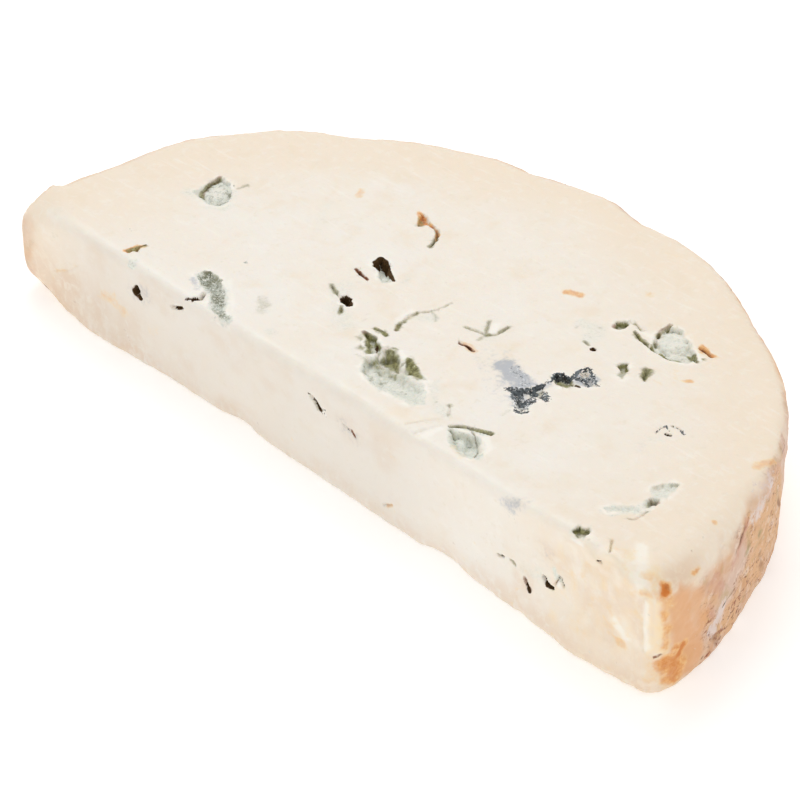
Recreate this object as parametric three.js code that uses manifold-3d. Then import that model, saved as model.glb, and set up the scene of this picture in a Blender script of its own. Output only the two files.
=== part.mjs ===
// Half a disc of fourme d'ambert, a soft blue cheese, lying on its cut side.
// It is one piece: pale paste with mould-lined hollows, and the rind around its arc.
// Millimetres, Z up. The cut face looks along -Y and the rind bows towards +Y.

import * as THREE from 'three';
import { mergeVertices } from 'three/addons/utils/BufferGeometryUtils.js';
import Module from 'manifold-3d';

const wasm = await Module();
wasm.setup();

// the rind's arc seen from above: an ellipse that reaches a little further at the left end,
// with its centre just behind the straight cut
const rightReach = 65.7;
const leftReach = 69.4;
const arcDepth = 56;
const arcCentreY = 8;
const leftThickness = 17;
const rightThickness = 20.5;

// how the edges are rounded: nearly sharp along the cut, softer at the rind,
// and the two ends roll over like a pebble
const cutEdgeRound = { top: 1.1, under: 0.5 };
const rindEdgeRound = { top: 1.6, under: 1.8 };
const leftEndRound = { top: 6.5, under: 5.0 };
const rightEndRound = { top: 4.5, under: 1.2 };
const leftRoll = 16;
const rightRoll = 7;
const cornerRound = 1.6;

// steps of the mesh
const outlineSteps = 120;
const hollowDetail = 2;

// dents and swells of the rind seen from above: angle from the centre, spread, how far out
const rindWaves = [
  { angle: -4, spread: 8, out: 0.8 },
  { angle: 14, spread: 8, out: -0.8 },
  { angle: 52, spread: 7, out: -0.5 },
  { angle: 72, spread: 7, out: 0.5 },
  { angle: 85, spread: 4, out: -1.1 },
  { angle: 107, spread: 8, out: -1.1 },
  { angle: 135, spread: 14, out: -1.9 },
  { angle: 161, spread: 6, out: 1.4 },
  { angle: 173, spread: 5, out: -0.5 },
];

// swells and chips along the foot of the cut face: place, spread, how far out
const footWaves = [
  { x: -49, spread: 9, out: 1.2 },
  { x: -17, spread: 4, out: -1.0 },
  { x: 26, spread: 4, out: -1.3 },
  { x: 52, spread: 7, out: 1.1 },
];
const footHeight = 9;

// hollows of the top face, where the blue mould grew: middle, half sizes, depth, turn in degrees
const topHollows = [
  { x: -46, y: 22, long: 4.6, wide: 3.1, deep: 4.0, turn: 25 },
  { x: -17.8, y: 39.6, long: 3.0, wide: 1.2, deep: 2.2, turn: -14 },
  { x: -13.4, y: 36.8, long: 3.0, wide: 1.2, deep: 2.4, turn: -48 },
  { x: -13, y: 26, long: 2.7, wide: 1.6, deep: 4.2, turn: -10 },
  { x: -11.4, y: 16, long: 1.9, wide: 1.3, deep: 3.4, turn: -30 },
  { x: 2.2, y: 11.6, long: 6.0, wide: 4.0, deep: 5.2, turn: -28 },
  { x: 12, y: 6.6, long: 5.0, wide: 3.6, deep: 4.8, turn: -22 },
  { x: 25.6, y: 4.6, long: 4.6, wide: 3.0, deep: 4.2, turn: -24 },
  { x: 25, y: 17.2, long: 4.4, wide: 1.7, deep: 1.9, turn: -45 },
  { x: 27, y: 26, long: 4.4, wide: 1.7, deep: 2.0, turn: 45 },
  { x: 24.6, y: 40.6, long: 2.9, wide: 1.7, deep: 2.4, turn: 15 },
  { x: 33, y: 42.6, long: 5.2, wide: 3.2, deep: 3.8, turn: 35 },
  { x: 30, y: 32, long: 1.9, wide: 1.6, deep: 2.2, turn: 0 },
  { x: 52.6, y: 13, long: 4.6, wide: 1.9, deep: 3.2, turn: 98 },
  { x: 51.5, y: 1.6, long: 1.8, wide: 1.5, deep: 3.4, turn: 90 },
  { x: -27, y: 4.4, long: 4.6, wide: 2.0, deep: 1.5, turn: -28 },
  { x: -42, y: 3.2, long: 2.6, wide: 0.9, deep: 1.6, turn: 10 },
];

// holes of the cut face: place along the face, height, radius, depth
const cutFaceHoles = [
  { x: -39, z: 13.3, radius: 0.8, deep: 3.2 },
  { x: 43, z: 6.5, radius: 0.9, deep: 2.2 },
  { x: 46.5, z: 9.6, radius: 1.0, deep: 2.4 },
];

// lumps of mould-coated curd that stand in the hollows: middle, half sizes, depth below the top
const lumps = [
  { x: -45.2, y: 21.2, long: 3.1, wide: 2.1, tall: 3.0, below: 3.1, turn: 25 },
  { x: 27.4, y: 3.6, long: 1.9, wide: 1.4, tall: 2.4, below: 3.4, turn: 0 },
  { x: 23.8, y: 4.6, long: 1.5, wide: 1.2, tall: 2.2, below: 3.2, turn: 40 },
  { x: 31.6, y: 41.4, long: 2.9, wide: 1.6, tall: 2.8, below: 3.0, turn: 30 },
  { x: 35.6, y: 44.4, long: 1.8, wide: 1.5, tall: 2.4, below: 2.8, turn: 0 },
  { x: -14.6, y: 37.6, long: 1.2, wide: 0.6, tall: 1.8, below: 2.0, turn: -48 },
];

const degree = Math.PI / 180;

// thickness of the piece at a place: thin at the left end, with a faint rise and fall
function topHeight(x, y) {
  const along = (x + leftReach) / (leftReach + rightReach);
  const slope = leftThickness + (rightThickness - leftThickness) * along;
  const swell = 0.22 * Math.sin(x * 0.11 + 1.2) * Math.cos(y * 0.13) + 0.12 * Math.sin(x * 0.29 + y * 0.23);
  return slope + swell;
}

// crossed waves with their phases from a seed, for surfaces that are never quite even
function unevenness(point, seed) {
  const a = Math.sin(point.x * 2.3 + seed * 1.3 + 1.1 * Math.sin(point.y * 2.9 + seed));
  const b = Math.sin(point.y * 2.7 + seed * 2.7 + 1.3 * Math.sin(point.z * 2.5 + seed));
  const c = Math.sin(point.z * 3.1 + seed * 0.9 + 0.9 * Math.sin(point.x * 2.3 + seed));
  return (a + b + c) / 3;
}

// sum of soft bumps along a line, each with its own middle, spread and size
function waves(list, place) {
  return list.reduce((sum, wave) => {
    const distance = (place - (wave.angle ?? wave.x)) / wave.spread;
    return sum + wave.out * Math.exp(-distance * distance);
  }, 0);
}

// the outline from above: the rind's ellipse closed by the straight cut, with rounded corners
function makeOutline() {
  const lowAngle = -Math.asin((arcCentreY - cornerRound) / arcDepth);
  const shape = new THREE.Shape();
  shape.absellipse(0, arcCentreY, rightReach, arcDepth, lowAngle, Math.PI - lowAngle, false, 0);
  const corner = shape.getPoint(0);
  shape.quadraticCurveTo(-corner.x, 0, -corner.x + cornerRound, 0);
  shape.lineTo(corner.x - cornerRound, 0);
  shape.quadraticCurveTo(corner.x, 0, corner.x, corner.y);
  const points = shape.getSpacedPoints(outlineSteps).slice(0, outlineSteps);
  return points.map((point) => {
    const fromCentre = new THREE.Vector2(point.x, point.y - arcCentreY);
    const angle = THREE.MathUtils.euclideanModulo(fromCentre.angle() / degree + 90, 360) - 90;
    const onRind = THREE.MathUtils.smoothstep(point.y, 0, cornerRound * 2);
    fromCentre.setLength(fromCentre.length() + onRind * waves(rindWaves, angle));
    const stretch = point.x < 0 ? leftReach / rightReach : 1;
    return new THREE.Vector2(fromCentre.x * stretch, fromCentre.y + arcCentreY);
  });
}

// rings of the body from the middle of the underside to the middle of the top:
// how far out from the middle, and how far round the edge from the flank (0) to the flat (1)
const rings = [
  { side: 'under', out: 0, round: 1 },
  { side: 'under', out: 0.55, round: 1 },
  { side: 'under', out: 1, round: 1 },
  { side: 'under', out: 1, round: 0.66 },
  { side: 'under', out: 1, round: 0.33 },
  { side: 'under', out: 1, round: 0 },
  { side: 'flank', out: 1, share: 0.33 },
  { side: 'flank', out: 1, share: 0.66 },
  { side: 'top', out: 1, round: 0 },
  { side: 'top', out: 1, round: 0.3 },
  { side: 'top', out: 1, round: 0.62 },
  { side: 'top', out: 1, round: 1 },
  { side: 'top', out: 0.86, round: 1 },
  { side: 'top', out: 0.68, round: 1 },
  { side: 'top', out: 0.48, round: 1 },
  { side: 'top', out: 0.26, round: 1 },
  { side: 'top', out: 0, round: 1 },
];

// radius of the edge at a place of the outline, for the top or the underside
function edgeRadius(point, side) {
  const { smoothstep, lerp } = THREE.MathUtils;
  const plain = lerp(cutEdgeRound[side], rindEdgeRound[side], smoothstep(point.y, 0, cornerRound * 2));
  const towardsLeft = smoothstep(-point.x, leftReach - leftRoll, leftReach);
  const towardsRight = smoothstep(point.x, rightReach - rightRoll, rightReach);
  return lerp(lerp(plain, leftEndRound[side], towardsLeft), rightEndRound[side], towardsRight);
}

// inset and height of a ring where it passes a place of the outline
function ringSection(ring, point) {
  const thickness = topHeight(point.x, point.y);
  const low = edgeRadius(point, 'under');
  const high = thickness - edgeRadius(point, 'top');
  if (ring.side === 'flank') return { inset: 0, height: low + (high - low) * ring.share };
  const radius = edgeRadius(point, ring.side);
  const turn = ring.round * Math.PI / 2;
  const inset = radius * (1 - Math.cos(turn));
  const rise = radius * (1 - Math.sin(turn));
  return { inset, height: ring.side === 'top' ? thickness - rise : rise };
}

// the cut face: shallow upright knife marks near its right end, swells and chips along its foot
function cutRelief(point, height) {
  const onCut = 1 - THREE.MathUtils.smoothstep(point.y, 0, cornerRound);
  const nearRight = THREE.MathUtils.smoothstep(point.x, 34, 48);
  const marks = nearRight * 0.15 * (1 + Math.sin(point.x * 1.35 + height * 0.05));
  const foot = 1 - THREE.MathUtils.smoothstep(height, 0, footHeight);
  return onCut * (marks - foot * waves(footWaves, point.x));
}

// turn a lathed profile into the half disc: each ring follows the outline at its own inset
function makeBody() {
  const outline = makeOutline();
  const centre = new THREE.Vector2(0, arcDepth * 0.46);
  const profile = rings.map((ring, index) => new THREE.Vector2(ring.out, index));
  const lathe = new THREE.LatheGeometry(profile, outlineSteps);
  const positions = lathe.attributes.position;
  for (let i = 0; i < positions.count; i += 1) {
    const ring = rings[i % rings.length];
    const step = Math.floor(i / rings.length) % outlineSteps;
    const edge = outline[step];
    const before = outline[(step + outlineSteps - 1) % outlineSteps];
    const after = outline[(step + 1) % outlineSteps];
    const inward = new THREE.Vector2(before.y - after.y, after.x - before.x).normalize();
    const { inset, height } = ringSection(ring, edge);
    const rim = edge.clone().addScaledVector(inward, inset + cutRelief(edge, height));
    const place = centre.clone().lerp(rim, ring.out);
    const inner = ring.side === 'top' ? topHeight(place.x, place.y) : 0;
    positions.setXYZ(i, place.x, place.y, ring.out < 1 ? inner : height);
  }
  return toSolid(lathe);
}

// merge a geometry's shared corners and hand it over as a closed solid
function toSolid(geometry) {
  const bare = geometry.clone();
  bare.deleteAttribute('normal');
  bare.deleteAttribute('uv');
  const welded = mergeVertices(bare, 1e-4);
  const vertProperties = new Float32Array(welded.attributes.position.array);
  const kept = [];
  for (let i = 0; i < welded.index.count; i += 3) {
    const [a, b, c] = [0, 1, 2].map((corner) => welded.index.getX(i + corner));
    if (a !== b && b !== c && c !== a) kept.push(a, b, c);
  }
  const mesh = new wasm.Mesh({ numProp: 3, vertProperties, triVerts: new Uint32Array(kept) });
  return new wasm.Manifold(mesh);
}

// a ball pushed out of round, with its half sizes, seed and place
function makeLump({ long, wide, tall, turn, seed, roughness, detail }, place) {
  const ball = new THREE.IcosahedronGeometry(1, detail);
  const positions = ball.attributes.position;
  const corner = new THREE.Vector3();
  for (let i = 0; i < positions.count; i += 1) {
    corner.fromBufferAttribute(positions, i);
    corner.multiplyScalar(1 + roughness * unevenness(corner, seed));
    positions.setXYZ(i, corner.x * long, corner.y * wide, corner.z * tall);
  }
  ball.rotateZ(turn * degree);
  ball.translate(place.x, place.y, place.z);
  return toSolid(ball);
}

// a solid back as a three.js geometry with flat faces
function toGeometry(solid) {
  const { vertProperties, triVerts } = solid.getMesh();
  const geometry = new THREE.BufferGeometry();
  geometry.setAttribute('position', new THREE.BufferAttribute(new Float32Array(vertProperties), 3));
  geometry.setIndex(new THREE.BufferAttribute(new Uint32Array(triVerts), 1));
  return geometry;
}

// body, less its hollows and holes, with the lumps standing in them
function makeCheese() {
  let solid = makeBody();
  topHollows.forEach(({ x, y, long, wide, deep, turn }, index) => {
    const sizes = { long, wide, tall: deep * 0.9, turn, seed: index + 1, roughness: 0.22, detail: hollowDetail };
    solid = solid.subtract(makeLump(sizes, { x, y, z: topHeight(x, y) - deep * 0.1 }));
  });
  cutFaceHoles.forEach(({ x, z, radius, deep }, index) => {
    const sizes = { long: radius, wide: deep, tall: radius, turn: 0, seed: index + 40, roughness: 0.2, detail: 1 };
    solid = solid.subtract(makeLump(sizes, { x, y: 0, z }));
  });
  lumps.forEach(({ x, y, long, wide, tall, below, turn }, index) => {
    const sizes = { long, wide, tall, turn, seed: index + 60, roughness: 0.18, detail: 2 };
    solid = solid.add(makeLump(sizes, { x, y, z: topHeight(x, y) - below }));
  });
  return toGeometry(solid);
}

const cheeseGeometry = makeCheese();

// the origin is the middle of the underside
cheeseGeometry.computeBoundingBox();
const middle = cheeseGeometry.boundingBox.getCenter(new THREE.Vector3());
cheeseGeometry.translate(-middle.x, -middle.y, -cheeseGeometry.boundingBox.min.z);
cheeseGeometry.computeVertexNormals();

const paste = new THREE.MeshStandardMaterial({ color: '#f2e6d4', roughness: 0.55, metalness: 0 });
const cheese = new THREE.Mesh(cheeseGeometry, paste);
cheese.name = 'cheese';

const group = new THREE.Group();
group.add(cheese);

export default group;
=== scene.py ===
# %% [markdown]
# # Half a disc of fourme d'ambert
# A tall drum of soft blue cheese was cut into a disc, and the disc cut in half. What lies here is
# pale moist paste, with ragged hollows where the blue mould grew, a straight knife cut in front,
# and a thin dry rind round the arc behind. It is one piece, so it is modelled as one solid: first
# the plain half disc, then its hollows, then the fine relief, and last the colours painted on it.

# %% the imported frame
import math

import bmesh
import bpy
import numpy as np
from mathutils import Matrix, Vector


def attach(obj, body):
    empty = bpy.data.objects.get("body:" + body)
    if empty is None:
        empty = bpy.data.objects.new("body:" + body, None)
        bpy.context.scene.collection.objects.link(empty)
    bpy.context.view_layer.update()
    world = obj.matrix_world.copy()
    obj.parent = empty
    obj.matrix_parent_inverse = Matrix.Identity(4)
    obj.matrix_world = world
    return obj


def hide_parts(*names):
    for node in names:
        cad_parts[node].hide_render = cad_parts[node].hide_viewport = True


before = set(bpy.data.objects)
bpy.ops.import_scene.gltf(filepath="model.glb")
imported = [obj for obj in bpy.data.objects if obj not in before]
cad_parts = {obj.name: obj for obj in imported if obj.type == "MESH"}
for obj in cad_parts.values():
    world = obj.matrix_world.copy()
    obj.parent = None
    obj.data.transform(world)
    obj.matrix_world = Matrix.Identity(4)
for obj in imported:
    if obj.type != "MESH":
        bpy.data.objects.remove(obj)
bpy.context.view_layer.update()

# %% [markdown]
# ## Working in millimetres on the slab
# Cheese is easiest to describe from its cut: X runs along the cut face, Y goes from the cut to
# the rind, and Z is the height above the board. The frame's origin is the middle of the
# underside, so every point is moved there at the end, and scaled from millimetres to metres.

# %% slab millimetres to frame metres
mm = 0.001
slab_middle = Vector((-1.5, 31.36, 0.0))


def to_frame(point):
    return (Vector(point) - slab_middle) * mm


print("the cut face's middle is at", [round(v, 4) for v in to_frame((0, 0, 0))])

# %% [markdown]
# ## Camera
# A long lens far away gives the flat, calm look of a food photograph. It looks down on the piece
# from its right front corner. A camera looks along its own -Z, so its turn is built from three
# directions at right angles: right, up and back.

# %% camera
view_turn = math.radians(46.2)
view_height = math.radians(37.5)
view_distance = 460.0
looked_at = (4.0, 12.9, 10.0)
focal_px = 3165.0
image_px = 800
sensor_mm = 36.0

back = Vector((
    math.sin(view_turn) * math.cos(view_height),
    -math.cos(view_turn) * math.cos(view_height),
    math.sin(view_height),
))
right = Vector((math.cos(view_turn), math.sin(view_turn), 0))
up = back.cross(right)
camera_data = bpy.data.cameras.new("food_camera")
camera_data.sensor_width = sensor_mm
camera_data.lens = sensor_mm * focal_px / image_px
camera_data.clip_start = 0.01
camera_data.clip_end = 20
camera = bpy.data.objects.new("food_camera", camera_data)
turn = Matrix((right, up, back)).transposed().to_4x4()
camera.matrix_world = Matrix.Translation(to_frame(looked_at) + back * view_distance * mm) @ turn
bpy.context.scene.collection.objects.link(camera)
bpy.context.scene.camera = camera
print("lens", round(camera_data.lens, 1), "mm")

# %% [markdown]
# ## Light
# Pale cheese on white wants very soft light: a bright room all round, one wide lamp high behind
# the left shoulder to shape the hollows, and a weaker one in front so that the cut face stays
# light. The floor glows a little by itself, as a lit table does, so no hard shadow is left on it.

# %% room, lamps and floor
bpy.context.scene.view_settings.view_transform = "Standard"
room = bpy.data.worlds.new("white_room")
room.use_nodes = True
room.node_tree.nodes["Background"].inputs["Color"].default_value = (1.0, 0.995, 0.985, 1)
room.node_tree.nodes["Background"].inputs["Strength"].default_value = 0.8
bpy.context.scene.world = room


def add_lamp(name, place, size, watts):
    lamp_data = bpy.data.lights.new(name, "AREA")
    lamp_data.shape = "DISK"
    lamp_data.size = size
    lamp_data.energy = watts
    lamp = bpy.data.objects.new(name, lamp_data)
    lamp.location = place
    lamp.rotation_euler = Vector(place).to_track_quat("Z", "Y").to_euler()
    bpy.context.scene.collection.objects.link(lamp)
    return lamp


add_lamp("window_behind", (-0.55, 0.45, 0.95), 0.7, 3.0)
add_lamp("card_in_front", (0.35, -0.8, 0.5), 0.8, 0.4)

floor_size = 6.0
floor_mesh = bpy.data.meshes.new("floor")
floor_bm = bmesh.new()
bmesh.ops.create_grid(floor_bm, x_segments=1, y_segments=1, size=floor_size)
floor_bm.to_mesh(floor_mesh)
floor_bm.free()
floor = bpy.data.objects.new("floor", floor_mesh)
bpy.context.scene.collection.objects.link(floor)
floor.location.z = -0.0002
floor_paint = bpy.data.materials.new("white_table")
floor_paint.use_nodes = True
table_shader = floor_paint.node_tree.nodes["Principled BSDF"]
table_shader.inputs["Base Color"].default_value = (0.9, 0.9, 0.9, 1)
table_shader.inputs["Roughness"].default_value = 0.8
table_shader.inputs["Emission Color"].default_value = (1, 1, 1, 1)
table_shader.inputs["Emission Strength"].default_value = 0.3
floor.data.materials.append(floor_paint)
print("lamps and floor are set")

# %% [markdown]
# ## Noise to shape with
# Nothing about cheese is even, so many of the shapes below are nudged by smooth noise: random
# heights at the corners of a lattice, blended between. The corners come from a seeded shuffle,
# so that the cheese is the same each time. Several sizes added together give a crumbly feel.

# %% lattice noise
lattice_size = 256


def fade(t):
    return t * t * t * (t * (t * 6 - 15) + 10)


def smoothstep(low, high, value):
    t = np.clip((value - low) / (high - low), 0, 1)
    return t * t * (3 - 2 * t)


def noise(places, size, seed):
    """Smooth noise from -1 to 1 at places (n, 3), in millimetres, with lumps of the given size."""
    shuffle = np.random.default_rng(seed).permutation(lattice_size)
    scaled = places / size
    corner = np.floor(scaled).astype(int)
    part = fade(scaled - corner)
    total = np.zeros(len(places))
    for step in np.ndindex(2, 2, 2):
        key = 0
        weight = np.ones(len(places))
        for axis in range(3):
            key = shuffle[(key + corner[:, axis] + step[axis]) % lattice_size]
            weight *= part[:, axis] if step[axis] else 1 - part[:, axis]
        total += weight * (key / (lattice_size - 1) * 2 - 1)
    return total


def crumble(places, size, seed, layers=3):
    """Noise of several sizes, each half as large as the last."""
    total = 0
    for layer in range(layers):
        total = total + noise(places, size / 2 ** layer, seed + layer) / 2 ** layer
    return total


print("noise spans", round(float(noise(np.random.default_rng(1).random((5000, 3)) * 90, 3, 7).min()), 2))

# %% [markdown]
# ## The plain half disc
# Seen from above, the rind is part of an ellipse that a straight cut closes, with a few dents and
# swells. The edges are nearly sharp along the cut, softer at the rind, and the two ends roll over
# like a pebble. A profile spun once round gives a drum of rings, and each ring is then laid on
# the outline at its own inset and height.

# %% sizes of the piece
right_reach = 65.7
left_reach = 69.4
arc_depth = 56.0
arc_centre_y = 8.0
left_thickness = 17.0
right_thickness = 20.5
corner_round = 1.6
edge_round = {
    "cut": {"top": 1.1, "under": 0.5},
    "rind": {"top": 1.6, "under": 1.8},
    "left": {"top": 6.5, "under": 5.0},
    "right": {"top": 4.5, "under": 1.2},
}
left_roll = 16.0
right_roll = 7.0
foot_height = 9.0

# angle from the centre or place along the cut, spread, how far out
rind_waves = [
    (-4, 8, 0.8), (14, 8, -0.8), (52, 7, -0.5), (72, 7, 0.5), (85, 4, -1.1),
    (107, 8, -1.1), (135, 14, -1.9), (161, 6, 1.4), (173, 5, -0.5),
]
foot_waves = [(-49, 9, 1.2), (-17, 4, -1.0), (26, 4, -1.3), (52, 7, 1.1)]


def waves(bumps, place):
    return sum(out * np.exp(-((place - middle) / spread) ** 2) for middle, spread, out in bumps)


def top_height(x, y):
    along = (x + left_reach) / (left_reach + right_reach)
    slope = left_thickness + (right_thickness - left_thickness) * along
    swell = 0.22 * np.sin(x * 0.11 + 1.2) * np.cos(y * 0.13) + 0.12 * np.sin(x * 0.29 + y * 0.23)
    return slope + swell


# %% the outline from above
outline_steps = 260


def make_outline():
    low = -math.asin((arc_centre_y - corner_round) / arc_depth)
    turns = np.linspace(low, math.pi - low, 900)
    arc = np.stack([right_reach * np.cos(turns), arc_depth * np.sin(turns)], 1)
    end_x = arc[0, 0]
    bends = np.linspace(0, 1, 20)[1:, None]
    left_corner = np.array([[-end_x, arc[-1, 1]], [-end_x, -arc_centre_y], [-end_x + corner_round, -arc_centre_y]])
    right_corner = left_corner[::-1] * [-1, 1]

    def bend(corner):
        return corner[0] * (1 - bends) ** 2 + 2 * corner[1] * bends * (1 - bends) + corner[2] * bends ** 2

    ring = np.concatenate([arc, bend(left_corner), bend(right_corner)])
    lengths = np.concatenate([[0], np.cumsum(np.linalg.norm(np.diff(np.vstack([ring, ring[:1]]), axis=0), axis=1))])
    places = np.linspace(0, lengths[-1], outline_steps, endpoint=False)
    closed = np.vstack([ring, ring[:1]])
    even = np.stack([np.interp(places, lengths, closed[:, axis]) for axis in (0, 1)], 1)
    angle = (np.degrees(np.arctan2(even[:, 1], even[:, 0])) + 90) % 360 - 90
    on_rind = smoothstep(0, corner_round * 2, even[:, 1] + arc_centre_y)
    reach = np.linalg.norm(even, axis=1)
    even *= ((reach + on_rind * waves(rind_waves, angle)) / reach)[:, None]
    even[:, 0] *= np.where(even[:, 0] < 0, left_reach / right_reach, 1)
    return even + [0, arc_centre_y]


outline = make_outline()
inward = np.roll(outline, 1, 0) - np.roll(outline, -1, 0)
inward = np.stack([inward[:, 1], -inward[:, 0]], 1)
inward /= np.linalg.norm(inward, axis=1)[:, None]
print("outline spans", outline.min(0).round(1), outline.max(0).round(1), "mm")

# %% the spun drum laid on the outline
# side of the piece, share of the way out, and how far round the edge or up the flank
rings = (
    [("under", out, 1) for out in (0, 0.4, 0.75)]
    + [("under", 1, turn) for turn in (1, 0.8, 0.6, 0.4, 0.2, 0)]
    + [("flank", 1, share) for share in (0.2, 0.4, 0.6, 0.8)]
    + [("top", 1, turn) for turn in (0, 0.2, 0.4, 0.6, 0.8, 1)]
    + [("top", out, 1) for out in (0.92, 0.84, 0.72, 0.6, 0.45, 0.3, 0.15, 0)]
)
spin_centre = np.array([0, arc_depth * 0.46])


def edge_radius(point, side):
    on_rind = smoothstep(0, corner_round * 2, point[1])
    plain = edge_round["cut"][side] * (1 - on_rind) + edge_round["rind"][side] * on_rind
    to_left = smoothstep(left_reach - left_roll, left_reach, -point[0])
    to_right = smoothstep(right_reach - right_roll, right_reach, point[0])
    ends = plain * (1 - to_left) + edge_round["left"][side] * to_left
    return ends * (1 - to_right) + edge_round["right"][side] * to_right


def foot_swell(point, height):
    on_cut = 1 - smoothstep(0, corner_round, point[1])
    return on_cut * (1 - smoothstep(0, foot_height, height)) * waves(foot_waves, point[0])


def lay_on_outline(ring, step):
    side, out, share = ring
    edge = outline[step]
    thickness = top_height(*edge)
    low = edge_radius(edge, "under")
    high = thickness - edge_radius(edge, "top")
    inset, height = 0.0, low + (high - low) * share
    if side != "flank":
        radius = edge_radius(edge, side)
        turn = share * math.pi / 2
        inset = radius * (1 - math.cos(turn))
        rise = radius * (1 - math.sin(turn))
        height = thickness - rise if side == "top" else rise
    rim = edge + inward[step] * (inset - foot_swell(edge, height))
    place = spin_centre + (rim - spin_centre) * out
    if out < 1:
        height = top_height(*place) if side == "top" else 0.0
    return Vector((place[0], place[1], height))


def spin_half_disc():
    bm = bmesh.new()
    profile = [bm.verts.new((out, 0, index)) for index, (side, out, share) in enumerate(rings)]
    edges = [bm.edges.new(pair) for pair in zip(profile, profile[1:])]
    bmesh.ops.spin(
        bm, geom=profile + edges, cent=(0, 0, 0), axis=(0, 0, 1),
        angle=math.tau, steps=outline_steps, use_merge=True, use_duplicate=False,
    )
    bmesh.ops.remove_doubles(bm, verts=bm.verts, dist=1e-6)
    for vert in bm.verts:
        ring = rings[round(vert.co.z)]
        step = round(math.atan2(vert.co.y, vert.co.x) / math.tau * outline_steps) % outline_steps
        vert.co = lay_on_outline(ring, step)
    bmesh.ops.recalc_face_normals(bm, faces=bm.faces)
    return bm


def mesh_from(bm, name):
    mesh = bpy.data.meshes.new(name)
    bm.to_mesh(mesh)
    bm.free()
    return mesh


cheese = bpy.data.objects.new("cheese_piece", mesh_from(spin_half_disc(), "cheese_piece"))
bpy.context.scene.collection.objects.link(cheese)
print("plain half disc:", len(cheese.data.vertices), "points")

# %% reading and moving points
def read_points(piece):
    count = len(piece.data.vertices)
    flat = np.empty(count * 3)
    piece.data.vertices.foreach_get("co", flat)
    return flat.reshape(count, 3)


def read_normals(piece):
    count = len(piece.data.vertices)
    flat = np.empty(count * 3)
    piece.data.vertex_normals.foreach_get("vector", flat)
    return flat.reshape(count, 3)


def write_points(piece, points):
    piece.data.vertices.foreach_set("co", points.ravel())
    piece.data.update()


# %% [markdown]
# ## A map of the hollows
# The mould needs air, so it grows where the curd did not quite close. Each hollow is drawn as its
# rim seen from above: a few corners joined by straight lines. The distance inwards from that rim,
# shaken by noise so that it turns ragged, says how deep the paste is pressed down. Most hollows
# are scoops: steep at the back left and rising gently to the front right. Slits and cracks are
# lines with a width, and lumps of curd stand up again inside the larger hollows.

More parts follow.
